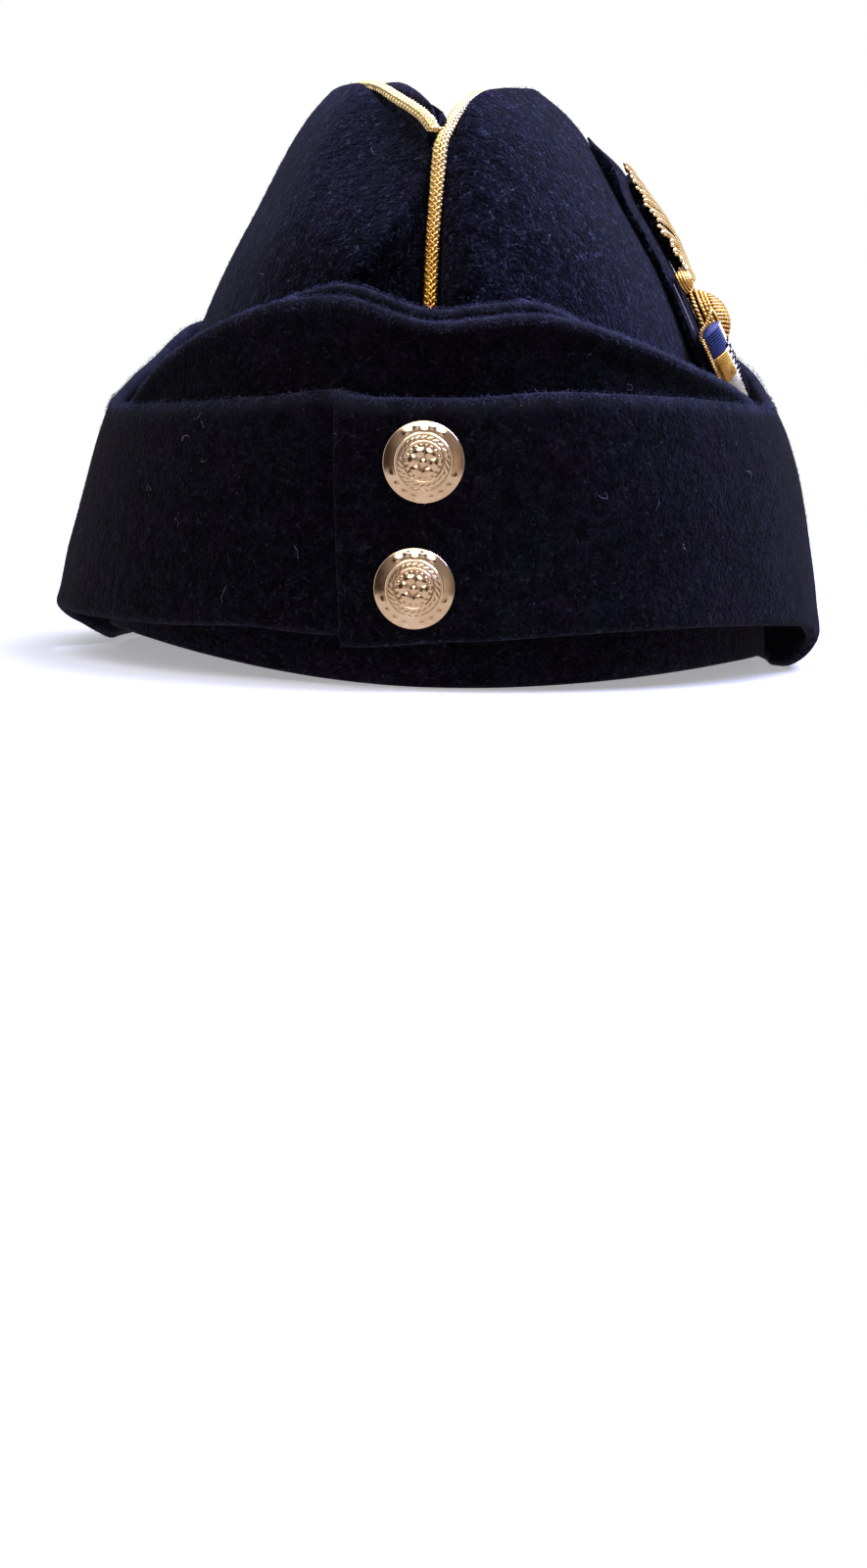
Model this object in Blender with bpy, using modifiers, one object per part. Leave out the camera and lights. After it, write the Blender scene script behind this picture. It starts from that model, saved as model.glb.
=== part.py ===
# Side cap of wool cloth: hollow boat-shaped crown, turned-up peak, curtain in two lapping halves,
# metal-braid piping, two domed buttons and a side badge. Metres, +Z up, front towards -Y, rim on z = 0.
import bmesh
import bpy
import math
from mathutils import Vector

# Main sizes
RIM_HALF_WIDTH = 0.079
RIM_HALF_LENGTH = 0.101
CROWN_HEIGHT = 0.1305
RIDGE_HALF_GAP = 0.0235
TOP_LEAN = -0.0020
SEAM_STRAY = -0.0014
SEAM_BEND = 0.00065
FORWARD_SHIFT = 0.0047
FOOT_LIFT = 0.0006
RIM_RISE_RIGHT = 0.0060
RIM_RISE_LEFT = 0.0040

# Cloth and gaps
CROWN_WALL = 0.0020
PEAK_WALL = 0.0026
PEAK_ROOM = 0.0008
EDGE_WALL_SHARE = 0.5
CURTAIN_WALL = 0.0026
GAP = 0.0003
SEAM_ROOM = 0.0006
PIPING_RADIUS = 0.0016
CORD_ROOM = PIPING_RADIUS + 0.0006
PIPING_PROUD = 0.0006
SHORT_START = 0.055
SHORT_END = 0.942

# The first row of each table names its columns.
# Crown: ridge lines from front seam (station 0) to rear seam (station 1), wearer's right then left.
# Across is of the half gap, along of the half length, height of the crown height, shoulder_out of the
# plan run and shoulder_drop of its own height.
RIGHT_RIDGE = (
    ("station", "across", "along", "height", "shoulder_out", "shoulder_drop"),
    (0.00, 0.000, -0.772, 0.837, 0.58, 0.28),
    (0.05, 0.085, -0.732, 0.867, 0.60, 0.26),
    (0.09, 0.190, -0.685, 0.892, 0.607, 0.249),
    (0.14, 0.375, -0.610, 0.922, 0.612, 0.225),
    (0.20, 0.560, -0.520, 0.953, 0.622, 0.205),
    (0.25, 0.697, -0.440, 0.970, 0.618, 0.230),
    (0.32, 0.843, -0.330, 0.982, 0.629, 0.235),
    (0.40, 0.946, -0.190, 0.990, 0.654, 0.226),
    (0.55, 0.986, 0.110, 0.990, 0.673, 0.218),
    (0.70, 0.924, 0.400, 0.962, 0.660, 0.205),
    (0.85, 0.590, 0.710, 0.880, 0.615, 0.250),
    (1.00, 0.000, 0.930, 0.770, 0.50, 0.30),
)
LEFT_RIDGE = (
    ("station", "across", "along", "height", "shoulder_out", "shoulder_drop"),
    (0.00, 0.000, -0.772, 0.837, 0.58, 0.28),
    (0.05, 0.060, -0.732, 0.861, 0.60, 0.26),
    (0.09, 0.130, -0.685, 0.889, 0.622, 0.215),
    (0.14, 0.251, -0.610, 0.924, 0.643, 0.188),
    (0.20, 0.400, -0.520, 0.946, 0.672, 0.174),
    (0.25, 0.532, -0.440, 0.960, 0.688, 0.174),
    (0.32, 0.645, -0.330, 0.976, 0.713, 0.170),
    (0.40, 0.734, -0.190, 0.982, 0.728, 0.166),
    (0.55, 0.774, 0.110, 0.984, 0.717, 0.163),
    (0.70, 0.780, 0.400, 0.955, 0.650, 0.165),
    (0.85, 0.538, 0.710, 0.878, 0.608, 0.232),
    (1.00, 0.000, 0.930, 0.770, 0.50, 0.30),
)
FOOT_RISE = 0.276
RIGHT_FOOT_IN = 0.126
LEFT_FOOT_IN = 0.116
# The cloth swells over its ridge: how far, and the stations where the swelling starts and ends
LEFT_PUFF = (0.0057, 0.0, 0.75)
RIGHT_PUFF = (0.0054, 0.124, 0.75)
# Folded top: the fold lies nearer the wearer's left ridge in front, and a roll swells beside the right one
VALLEY_DEPTH = 0.0120
VALLEY_START = 0.085
FOLD_PLACE = 0.62
TOP_ROLL = 0.0026
TOP_ROLL_END = 0.62

# Front lobes beside the seam: how far the cloth swells out, and where the swelling starts
LOBE_DEPTH = 0.0075
LOBE_LEVEL = 0.68
LOBE_SPREAD = 0.30
LOBE_END = 0.40
LEFT_LOBE_RISE = 0.060
RIGHT_DENT_LOW = 0.085
RIGHT_DENT_HIGH = 0.012
RIGHT_LOBE_RISE = 0.030

# Peak: height of its top edge, by turn round the front in degrees (wearer's right is negative)
PEAK_HEIGHT = 0.0765
PEAK_EDGE = (
    ("turn", "top"),
    (-71, 0.710), (-61, 0.760), (-51, 0.846), (-43, 0.899), (-36, 0.939), (-30, 0.968),
    (-25, 0.988), (-21, 0.996), (-16, 1.000), (-12, 0.993), (-8, 0.970), (-3, 0.943),
    (1, 0.937), (5, 0.948), (10, 0.961), (14, 0.968), (21, 0.957), (31, 0.920),
    (43, 0.872), (56, 0.828), (64, 0.795), (71, 0.760),
)
PEAK_END = 71
PEAK_TOP_IN = 0.075

# Curtain section at the side, from the rim fold outwards and up.
# Run is along the cloth and rise is the height, both of curtain height; stand is how far the inner
# face stands off the rim, of curtain stand.
CURTAIN_HEIGHT = 0.0867
CURTAIN_STAND = 0.0127
SECTION_COLUMNS = ("run", "stand", "rise")
ROLL_LEFT = (
    (0.000, 0.047, 0.000), (0.046, 0.362, 0.003), (0.092, 0.646, 0.024),
    (0.138, 0.866, 0.058), (0.185, 0.992, 0.099),
)
ROLL_RIGHT = (
    (0.000, 0.047, 0.000), (0.046, 0.283, 0.031), (0.092, 0.543, 0.058),
    (0.138, 0.811, 0.082), (0.185, 1.000, 0.116),
)
CURTAIN_SECTION = (
    (0.242, 0.937, 0.167), (0.340, 0.819, 0.265), (0.415, 0.693, 0.337),
    (0.557, 0.433, 0.476), (0.652, 0.260, 0.567), (0.732, 0.079, 0.646),
    (0.784, -0.063, 0.692), (0.845, -0.244, 0.750), (0.946, -0.331, 0.854),
    (1.096, -0.378, 1.003), (1.188, -0.394, 1.096),
)
REAR_START = 0.0030
REAR_STAND = 0.15
FRONT_ROOM = 0.0006
LAP_ROOM = 0.0005
LAP_FADE = 55
LAP_SKEW = 3.2
LEFT_SWELL = 0.0012
SWELL_LEVEL = 0.52
SWELL_SPREAD = 0.29

# Curtain edges by turn round the cap in degrees: run at the lower edge (low) and height of the top
# edge (high), both of curtain height
RIGHT_CURTAIN = (
    ("turn", "low", "high"),
    (-13, 0.219, 0.629), (4, 0.219, 0.640), (8, 0.210, 0.649), (11, 0.185, 0.663),
    (14, 0.183, 0.671), (18, 0.187, 0.667), (24, 0.194, 0.656), (40, 0.175, 0.647),
    (61, 0.173, 0.653), (70, 0.173, 0.663), (76, 0.127, 0.686), (81, 0.040, 0.706),
    (86, 0.000, 0.744), (100, 0.000, 0.836), (112, 0.000, 0.946), (124, 0.000, 0.994),
    (140, 0.000, 0.986), (160, 0.000, 0.937), (179.83, 0.000, 0.894),
)
LEFT_CURTAIN = (
    ("turn", "low", "high"),
    (-12.3, 0.176, 0.664), (-8, 0.179, 0.653), (1, 0.194, 0.653), (6, 0.198, 0.657),
    (16, 0.210, 0.677), (25, 0.219, 0.683), (41, 0.226, 0.691), (58, 0.219, 0.699),
    (67, 0.205, 0.707), (73, 0.156, 0.717), (78, 0.058, 0.735), (82, 0.000, 0.755),
    (92, 0.000, 0.819), (106, 0.000, 0.900), (118, 0.000, 0.971), (130, 0.000, 1.000),
    (145, 0.000, 0.983), (162, 0.000, 0.937), (179.83, 0.000, 0.894),
)

# Buttons: profile columns are radius share and height share
BUTTON_RADIUS = 0.0084
BUTTON_DEPTH = 0.0044
BUTTON_PROFILE = (
    (0.00, 0.00), (0.88, 0.00), (0.98, 0.10), (1.00, 0.24), (0.96, 0.36), (0.88, 0.44),
    (0.84, 0.56), (0.78, 0.66), (0.72, 0.64), (0.66, 0.60), (0.46, 0.72), (0.41, 0.80),
    (0.35, 0.75), (0.00, 0.86),
)
# Columns: name, turn round the cap (degrees), height (of curtain height)
BUTTONS = (("button_upper", -1.0, 0.510), ("button_lower", -1.7, 0.231))
PETALS = 6
PETAL_RING = 0.20
PETAL_LEVEL = 0.80
PETAL_SIZE = (0.15, 0.075, 0.13)

# Badge on the wearer's left panel. Its chart runs back (u) and up (w) over the cloth from a foot point.
# Lengths in the chart are shares of the badge span, the patch's height along the cloth.
BADGE_SPAN = 0.072
BADGE_STATION = 0.405
BADGE_LEVEL = 0.340
CHART_DROP = 0.167
PATCH_WALL = 0.0020
CLEAR = 0.00035
BADGE_FLARE = 0.0018
FLARE_START = 0.60
PATCH_CENTRE = (0.014, 0.403)
# Turn is round the patch centre, in degrees from up towards the rear
PATCH_REACH = (
    ("turn", "reach"),
    (0, 0.575), (20, 0.535), (45, 0.375), (75, 0.264), (100, 0.257),
    (125, 0.299), (150, 0.431), (180, 0.486), (208, 0.431), (235, 0.299),
    (262, 0.257), (285, 0.271), (315, 0.380), (340, 0.535), (360, 0.575),
)
SPRAY_CENTRE = (0.014, 0.646)
SPRAY_REACH = (0.188, 0.222)
SPRAY_LEAVES = 13
SPRAY_NOTCH = 0.20
KNOT_RADIUS = 0.033
KNOTS = (("badge_knot_front", -0.178, 0.396), ("badge_knot_rear", 0.206, 0.396))
BOSS_CENTRE = (0.014, 0.285)
BOSS_RADIUS = 0.106
# Relief heights: at the edge and in the middle
SPRAY_RELIEF = (0.0012, 0.0032)
BOSS_RELIEF = (0.0014, 0.0078)
KNOT_RELIEF = (0.0008, 0.0022)
# The ribbon hangs in a curve under the boss
RIBBON_LINE = (
    ("along", "height"),
    (-0.225, 0.262), (-0.185, 0.186), (-0.142, 0.118), (-0.087, 0.060), (-0.025, 0.026),
    (0.042, 0.023), (0.105, 0.053), (0.160, 0.108), (0.204, 0.178), (0.244, 0.257),
)
RIBBON_HALF = 0.047
RIBBON_WALL = 0.0028
EDGE_RADIUS = 0.0005


def mix(a, b, share):
    """Value at this share of the way from a to b."""
    return a + (b - a) * share


def ease(x):
    """Smooth step from 0 to 1."""
    x = min(max(x, 0.0), 1.0)
    return x * x * (3 - 2 * x)


def reading(table, key, column):
    """Smooth reading of one named column at key, through the rows in order."""
    at = table[0].index(column)
    rows = [(row[0], row[at]) for row in table[1:]]
    if key <= rows[0][0]:
        return rows[0][1]
    if key >= rows[-1][0]:
        return rows[-1][1]
    i = max(k for k in range(len(rows) - 1) if rows[k][0] <= key)
    (x0, y0), (x1, y1) = rows[i], rows[i + 1]
    before = rows[max(i - 1, 0)]
    after = rows[min(i + 2, len(rows) - 1)]
    m0 = (y1 - before[1]) / (x1 - before[0])
    m1 = (after[1] - y0) / (after[0] - x0)
    width = x1 - x0
    t = (key - x0) / width
    return ((2 * t**3 - 3 * t**2 + 1) * y0 + (t**3 - 2 * t**2 + t) * width * m0
            + (3 * t**2 - 2 * t**3) * y1 + (t**3 - t**2) * width * m1)


def bezier(points, t):
    """Point of a cubic curve at t."""
    a, b, c, d = points
    s = 1 - t
    return a * s**3 + b * 3 * s * s * t + c * 3 * s * t * t + d * t**3


def rim_height(turn):
    """The rim lifts a little between the front and the sides, and lies flat at the front and rear."""
    away = abs(turn)
    return (RIM_RISE_LEFT if turn > 0 else RIM_RISE_RIGHT) * ease(away / 62) * (1 - ease((away - 68) / 20))


def outward(turn):
    """Level direction out of the rim at this turn."""
    angle = math.radians(turn)
    return Vector((math.sin(angle) / RIM_HALF_WIDTH, -math.cos(angle) / RIM_HALF_LENGTH, 0)).normalized()


def lean(height, station):
    """Sideways lean of the crown at this height; the front seam strays a little further."""
    share = height / CROWN_HEIGHT
    stray = SEAM_STRAY * ease(1 - abs(share - 0.55) / 0.5) + SEAM_BEND * ease((share - 0.68) / 0.16)
    return TOP_LEAN * share**2 + stray * (1 - ease(station / 0.20))


def ridge_line(side, station):
    """Centre of the ridge piping on this side of the crown, before the lean."""
    table = LEFT_RIDGE if side > 0 else RIGHT_RIDGE
    return Vector((
        side * reading(table, station, "across") * RIDGE_HALF_GAP,
        reading(table, station, "along") * RIM_HALF_LENGTH,
        reading(table, station, "height") * CROWN_HEIGHT,
    ))


def leaning(point, station):
    """The point moved sideways by the crown's lean."""
    return point + Vector((lean(point.z, station), 0, 0))


def ridge_point(side, station):
    """Centre of the ridge piping on this side of the crown."""
    return leaning(ridge_line(side, station), station)


def rib(side, station):
    """Control points of the crown's section at this station, from rim to ridge."""
    turn = 180 * station
    angle = math.radians(turn)
    foot = Vector((side * RIM_HALF_WIDTH * math.sin(angle), -RIM_HALF_LENGTH * math.cos(angle), 0))
    foot.z = rim_height(side * turn) + FOOT_LIFT
    head = ridge_line(side, station)
    run = Vector((foot.x - head.x, foot.y - head.y, 0))
    lower = foot - run * (LEFT_FOOT_IN if side > 0 else RIGHT_FOOT_IN) + Vector((0, 0, FOOT_RISE * head.z))
    table = LEFT_RIDGE if side > 0 else RIGHT_RIDGE
    drop = Vector((0, 0, reading(table, station, "shoulder_drop") * head.z))
    return foot, lower, head + run * reading(table, station, "shoulder_out") - drop, head


def lobe(side, station, level):
    """Swelling of the cloth beside the front seam; on the wearer's right it starts at a slanting dent."""
    height = ease(1 - abs(level - LOBE_LEVEL) / (LOBE_SPREAD if level > LOBE_LEVEL else 0.5))
    if side > 0:
        start = ease(station / LEFT_LOBE_RISE)
    else:
        edge = mix(RIGHT_DENT_LOW, RIGHT_DENT_HIGH, ease((level - 0.55) / 0.35))
        start = ease((station - edge) / RIGHT_LOBE_RISE)
    return LOBE_DEPTH * height * start * (1 - ease((station - 0.10) / (LOBE_END - 0.10)))


def crown_point(side, station, level):
    """Outer surface of one side of the crown."""
    point = bezier(rib(side, station), level)
    away = outward(180 * station)
    point += Vector((side * away.x, away.y, 0)) * lobe(side, station, level)
    most, start, end = LEFT_PUFF if side > 0 else RIGHT_PUFF
    along = ease((station - start) / 0.12) * ease((end - station) / 0.3)
    point.z += most * along * ease((level - 0.72) / 0.20) * ease((1 - level) / 0.05)
    return leaning(point, station)


def seam_room(level):
    """Half the room between the two panels at a seam: narrow low down, wide where the piping shows."""
    return mix(SEAM_ROOM, CORD_ROOM, ease((level - 0.40) / 0.08))


def ridge_heading(side, station):
    """Unit direction of the ridge line at this station."""
    small = 0.01
    ahead = ridge_line(side, min(station + small, 1))
    return (ahead - ridge_line(side, max(station - small, 0))).normalized()


def panel_point(side, station, share):
    """Crown surface trimmed clear of the piping at the ridge and seams."""
    points = rib(side, station)
    end = points[3] - points[2]
    square = max(ridge_heading(side, station).cross(end.normalized()).length, 0.5)
    level = share * (1 - CORD_ROOM / square / (3 * end.length))
    point = crown_point(side, station, level)
    middle = lean(point.z, station)
    across = side * (point.x - middle)
    room = seam_room(level) * (1 + 0.3 * ease((station - 0.5) / 0.4))
    point.x = middle + side * math.hypot(max(across, 0), room)
    return point


def top_point(station, share):
    """Folded top between the two ridges: a fold, and a roll of cloth on its wide side."""
    left = ridge_point(1, station)
    right = ridge_point(-1, station)
    width = (left - right).length
    across = (left - right).normalized()
    rooms = [
        CORD_ROOM / max(ridge_heading(side, station).cross(across).length, 0.5) / width for side in (-1, 1)
    ]
    share = mix(rooms[0], 1 - rooms[1], share)
    point = right.lerp(left, share)
    depth = VALLEY_DEPTH * ease(station / 0.35) * ease((1 - station) / 0.35)
    fold = mix(FOLD_PLACE, 0.5, ease((station - 0.3) / 0.4))
    inward = share / fold if share < fold else (1 - share) / (1 - fold)
    point.z -= depth * 0.5 * (1 - math.cos(math.pi * inward**1.8))
    if share < fold:
        shown = ease(station / 0.10) * ease((TOP_ROLL_END - station) / 0.3)
        point.z += TOP_ROLL * shown * math.sin(math.pi * min(inward * 1.15, 1))
    return point


def peak_point(turn, share):
    """Outer surface of the turned-up peak."""
    low = rim_height(turn)
    height = mix(low, reading(PEAK_EDGE, turn, "top") * PEAK_HEIGHT, share)
    half_width = (RIM_HALF_WIDTH + PEAK_ROOM + PEAK_WALL) * (1 - PEAK_TOP_IN * (height / PEAK_HEIGHT))
    half_length = RIM_HALF_LENGTH + PEAK_ROOM + PEAK_WALL
    angle = math.radians(turn)
    return Vector((half_width * math.sin(angle), -half_length * math.cos(angle), height))


def section(side):
    """Curtain section on this side."""
    return (SECTION_COLUMNS,) + (ROLL_LEFT if side > 0 else ROLL_RIGHT) + CURTAIN_SECTION


def run_at(side, height):
    """Run along the curtain's section at which it reaches this height, all as shares."""
    low, high = 0.0, CURTAIN_SECTION[-1][0]
    for _ in range(40):
        middle = (low + high) / 2
        if reading(section(side), middle, "rise") < height:
            low = middle
        else:
            high = middle
    return high


def curtain_point(side, turn, share):
    """Outer surface of one curtain half; turn is counted from the front towards its own side."""
    table = LEFT_CURTAIN if side > 0 else RIGHT_CURTAIN
    run = mix(reading(table, turn, "low"), run_at(side, reading(table, turn, "high")), share)
    level = reading(section(side), run, "rise")
    stand = CURTAIN_WALL + CURTAIN_STAND * reading(section(side), run, "stand")
    front = PEAK_ROOM + PEAK_WALL + FRONT_ROOM + CURTAIN_WALL
    if side > 0:
        front += (LAP_ROOM + CURTAIN_WALL) * (1 - ease((turn - 15) / LAP_FADE))
        stand += LEFT_SWELL * ease(1 - abs(level - SWELL_LEVEL) / SWELL_SPREAD)
        turn -= LAP_SKEW * (share - 0.45) * (1 - ease((turn + 12.3) / 30))
    near = ease((90 - turn) / 35)
    half_length = RIM_HALF_LENGTH + mix(REAR_START + REAR_STAND * stand, front, near)
    angle = math.radians(turn)
    return Vector((
        side * (RIM_HALF_WIDTH + stand) * math.sin(angle), -half_length * math.cos(angle),
        level * CURTAIN_HEIGHT,
    ))


def material(name, colour, metallic, roughness):
    """Plain surface of one colour."""
    made = bpy.data.materials.new(name)
    made.use_nodes = True
    shader = made.node_tree.nodes["Principled BSDF"]
    shader.inputs["Base Color"].default_value = (*colour, 1)
    shader.inputs["Metallic"].default_value = metallic
    shader.inputs["Roughness"].default_value = roughness
    return made


def place(name, data, surface):
    """New object in the cap's collection."""
    data.materials.append(surface)
    if isinstance(data, bpy.types.Mesh):
        data.shade_smooth()
    made = bpy.data.objects.new(name, data)
    made.location.y = FORWARD_SHIFT
    cap.objects.link(made)
    return made


def sheet(name, grid, wall, surface, fine_edges=()):
    """Cloth from a grid of points on its outer face, thickened inwards; fine edges are pressed thinner."""
    columns = len(grid[0])
    points = [point for row in grid for point in row]
    faces = []
    for r in range(len(grid) - 1):
        for c in range(columns - 1):
            a = r * columns + c
            faces.append((a, a + 1, a + columns + 1, a + columns))
    data = bpy.data.meshes.new(name)
    data.from_pydata(points, [], faces)
    made = place(name, data, surface)
    thick = made.modifiers.new("wall", "SOLIDIFY")
    thick.thickness = wall
    thick.offset = -1
    thick.use_even_offset = not fine_edges
    if fine_edges:
        rows = len(grid)
        thin = {
            "columns": [r * columns + c for r in range(rows) for c in (0, columns - 1)],
            "rows": [r * columns + c for c in range(columns) for r in (0, rows - 1)],
            "last": [(rows - 1) * columns + c for c in range(columns)],
        }
        pressed = set().union(*(thin[edge] for edge in fine_edges))
        group = made.vertex_groups.new(name="full")
        group.add([i for i in range(len(points)) if i not in pressed], 1, "REPLACE")
        thick.vertex_group = "full"
        thick.thickness_vertex_group = EDGE_WALL_SHARE
    return made


def grid_of(function, first, second, flip=False):
    """Grid of points, one row for each value of the second setting."""
    rows = [[function(a, b) for a in first] for b in second]
    return [row[::-1] for row in rows] if flip else rows


def steps(start, end, count):
    """Evenly spaced values, ends included."""
    return [mix(start, end, i / count) for i in range(count + 1)]


for old in list(bpy.data.objects):
    bpy.data.objects.remove(old, do_unlink=True)
cap = bpy.data.collections.new("side_cap")
bpy.context.scene.collection.children.link(cap)

cloth = material("navy_wool", (0.012, 0.012, 0.030), 0.0, 0.9)
braid = material("gilt_braid", (0.80, 0.48, 0.12), 1.0, 0.35)
gilt = material("button_gilt", (0.80, 0.62, 0.46), 1.0, 0.2)
purl = material("gilt_purl", (0.78, 0.50, 0.14), 1.0, 0.35)
blue = material("blue_silk", (0.06, 0.08, 0.35), 0.0, 0.5)

# Crown
stations = [s - 0.55 * math.sin(2 * math.pi * s) / (2 * math.pi) for s in steps(0, 1, 28)]
levels = [1 - (1 - share)**1.4 for share in steps(0, 1, 11)]
for side, name in ((1, "crown_left"), (-1, "crown_right")):
    grid = grid_of(lambda s, t, side=side: panel_point(side, s, t), stations, levels, side < 0)
    sheet(name, grid, CROWN_WALL, cloth, ("columns", "last"))
grid = grid_of(top_point, steps(VALLEY_START, 1 - VALLEY_START, 22), steps(0, 1, 8), True)
sheet("crown_top", grid, CROWN_WALL, cloth, ("columns", "rows"))

# Peak
sheet("front_peak", grid_of(peak_point, steps(-PEAK_END, PEAK_END, 40), steps(0, 1, 4)), PEAK_WALL, cloth)

# Curtain
for side, name, table in ((1, "curtain_left", LEFT_CURTAIN), (-1, "curtain_right", RIGHT_CURTAIN)):
    turns = steps(table[1][0], table[-1][0], 39)
    grid = grid_of(lambda a, v, side=side: curtain_point(side, a, v), turns, steps(0, 1, 9), side < 0)
    sheet(name, grid, CURTAIN_WALL, cloth)


def cord(name, path, radius, surface):
    """Round cord along a path, with closed ends."""
    data = bpy.data.curves.new(name, "CURVE")
    data.dimensions = "3D"
    data.bevel_depth = radius
    data.bevel_resolution = 2
    data.use_fill_caps = True
    line = data.splines.new("POLY")
    line.points.add(len(path) - 1)
    for point, place_at in zip(line.points, path):
        point.co = (*place_at, 1)
    return place(name, data, surface)


# Piping: one cord up the front seam, over the wearer's left ridge and down the rear seam,
# and one on the right ridge
front = Vector((0, -1, 0))
rise = Vector((0, 0, 1))
front_seam = [crown_point(1, 0, t) + front.slerp(rise, t * 0.5) * PIPING_PROUD for t in steps(0.51, 1, 11)]
rear_seam = [crown_point(1, 1, t) + (-front).slerp(rise, t * 0.5) * PIPING_PROUD for t in steps(1, 0.51, 8)]
ridge = [ridge_point(1, s) + rise * PIPING_PROUD for s in steps(0, 1, 36)]
cord("piping_long", front_seam + ridge[1:-1] + rear_seam, PIPING_RADIUS, braid)
short = [ridge_point(-1, s) + rise * PIPING_PROUD for s in steps(SHORT_START, SHORT_END, 32)]
cord("piping_short", short, PIPING_RADIUS, braid)


def button(name, turn, height):
    """Domed button: a turned profile with a ring and a six-petal rosette, facing forwards."""
    outline = [(r * BUTTON_RADIUS, 0, h * BUTTON_DEPTH) for r, h in BUTTON_PROFILE]
    data = bpy.data.meshes.new(name)
    data.from_pydata(outline, [(i, i + 1) for i in range(len(outline) - 1)], [])
    made = place(name, data, gilt)
    turned = made.modifiers.new("turned", "SCREW")
    turned.steps = turned.render_steps = 20
    turned.use_merge_vertices = True
    turned.merge_threshold = 0.00001
    turned.use_normal_calculate = True
    spot = curtain_point(1, turn, 0.5)
    made.rotation_euler.x = math.pi / 2
    made.location += Vector((spot.x, spot.y - GAP, height * CURTAIN_HEIGHT))
    for i in range(PETALS):
        petal = bpy.data.meshes.new("petal")
        shape = bmesh.new()
        bmesh.ops.create_icosphere(shape, subdivisions=1, radius=1)
        shape.to_mesh(petal)
        shape.free()
        helper = bpy.data.objects.new(f"{name}_petal_{i}", petal)
        cap.objects.link(helper)
        angle = 2 * math.pi * i / PETALS
        ring = PETAL_RING * BUTTON_RADIUS
        local = Vector((ring * math.cos(angle), ring * math.sin(angle), PETAL_LEVEL * BUTTON_DEPTH))
        helper.location = made.location + Vector((local.x, -local.z, local.y))
        helper.rotation_euler = (math.pi / 2, -angle, 0)
        helper.scale = [share * BUTTON_RADIUS for share in PETAL_SIZE]
        helper.hide_render = True
        helper.display_type = "WIRE"
        join = made.modifiers.new(f"petal_{i}", "BOOLEAN")
        join.operation = "UNION"
        join.solver = "EXACT"
        join.object = helper


for name, turn, height in BUTTONS:
    button(name, turn, height)


def chart_rows(count=90):
    """Level and station length for each step up the badge's middle line, starting below its foot."""
    step = BADGE_SPAN / 72
    level = BADGE_LEVEL
    small = 0.001
    rows = [("row", "level", "station_length")]
    for i in range(count):
        here = crown_point(1, BADGE_STATION, level)
        up = (crown_point(1, BADGE_STATION, level + small) - here).length / small
        back = (crown_point(1, BADGE_STATION + small, level) - here).length / small
        rows.append((i * step, level, back))
        level += step / up
    return rows


CHART = chart_rows()


def badge_point(u, w, lift):
    """Point over the left panel: u back and w up from the badge's foot, raised by lift."""
    row = (w + CHART_DROP) * BADGE_SPAN
    level = reading(CHART, row, "level")
    station = BADGE_STATION + u * BADGE_SPAN / reading(CHART, row, "station_length")
    here = crown_point(1, station, level)
    small = 0.002
    along = crown_point(1, station + small, level) - crown_point(1, station - small, level)
    rise = crown_point(1, station, level + small) - crown_point(1, station, level - small)
    flare = BADGE_FLARE * ease((FLARE_START - w) / (FLARE_START + CHART_DROP))
    return here + along.cross(rise).normalized() * (lift + flare)


def relief(name, centre, reach, lift, heights, spokes, rings, surface):
    """Low domed piece on the badge: reach gives its outline, heights its edge and middle."""
    edge, middle = heights
    points = []
    for top in (False, True):
        points.append(badge_point(*centre, lift + (middle if top else 0)))
        for ring in range(1, rings + 1):
            share = ring / rings
            height = mix(middle, edge, share**2) if top else 0
            for k in range(spokes):
                angle = 2 * math.pi * k / spokes
                far = reach(math.degrees(angle)) * share
                points.append(badge_point(
                    centre[0] + far * math.sin(angle), centre[1] + far * math.cos(angle), lift + height,
                ))
    half = 1 + rings * spokes
    faces = []
    for top in (False, True):
        first = half if top else 0
        for k in range(spokes):
            following = (k + 1) % spokes
            loops = [(first, first + 1 + k, first + 1 + following)]
            for ring in range(rings - 1):
                a = first + 1 + ring * spokes
                loops.append((a + k, a + spokes + k, a + spokes + following, a + following))
            faces += [loop[::-1] if top else loop for loop in loops]
    outer = 1 + (rings - 1) * spokes
    for k in range(spokes):
        following = (k + 1) % spokes
        faces.append((outer + k, half + outer + k, half + outer + following, outer + following))
    data = bpy.data.meshes.new(name)
    data.from_pydata(points, [], faces)
    return place(name, data, surface)


def leaf_reach(degrees):
    """Outline of the leaf spray: an oval with pointed leaf tips."""
    angle = math.radians(degrees)
    oval = 1 / math.hypot(math.sin(angle) / SPRAY_REACH[0], math.cos(angle) / SPRAY_REACH[1])
    tooth = abs((degrees / 360 * SPRAY_LEAVES) % 1 - 0.5) * 2
    return oval * (1 - SPRAY_NOTCH * (1 - tooth))


def patch_reach(degrees):
    """Outline of the badge's cloth patch."""
    return reading(PATCH_REACH, degrees, "reach")


# Badge reliefs; the last numbers are spokes and rings
relief("badge_patch", PATCH_CENTRE, patch_reach, CLEAR, (PATCH_WALL, PATCH_WALL), 24, 4, cloth)
over_patch = CLEAR * 2 + PATCH_WALL
relief("badge_spray", SPRAY_CENTRE, leaf_reach, over_patch, SPRAY_RELIEF, SPRAY_LEAVES * 2, 3, purl)
relief("badge_boss", BOSS_CENTRE, lambda d: BOSS_RADIUS, over_patch, BOSS_RELIEF, 16, 3, purl)
for name, u, w in KNOTS:
    relief(name, (u, w), lambda d: KNOT_RADIUS, over_patch, KNOT_RELIEF, 10, 2, purl)


def ribbon_frame(u):
    """Middle of the ribbon at u and its unit crosswise direction, in the badge's chart."""
    small = 0.007
    behind = reading(RIBBON_LINE, u - small, "height")
    slope = (reading(RIBBON_LINE, u + small, "height") - behind) / (2 * small)
    size = math.hypot(1, slope)
    return u, reading(RIBBON_LINE, u, "height"), -slope / size, 1 / size


def ribbon_point(u, across, lift):
    """Point of the ribbon at u, across from its middle line."""
    middle, height, du, dw = ribbon_frame(u)
    return badge_point(middle + du * across, height + dw * across, lift)


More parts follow.
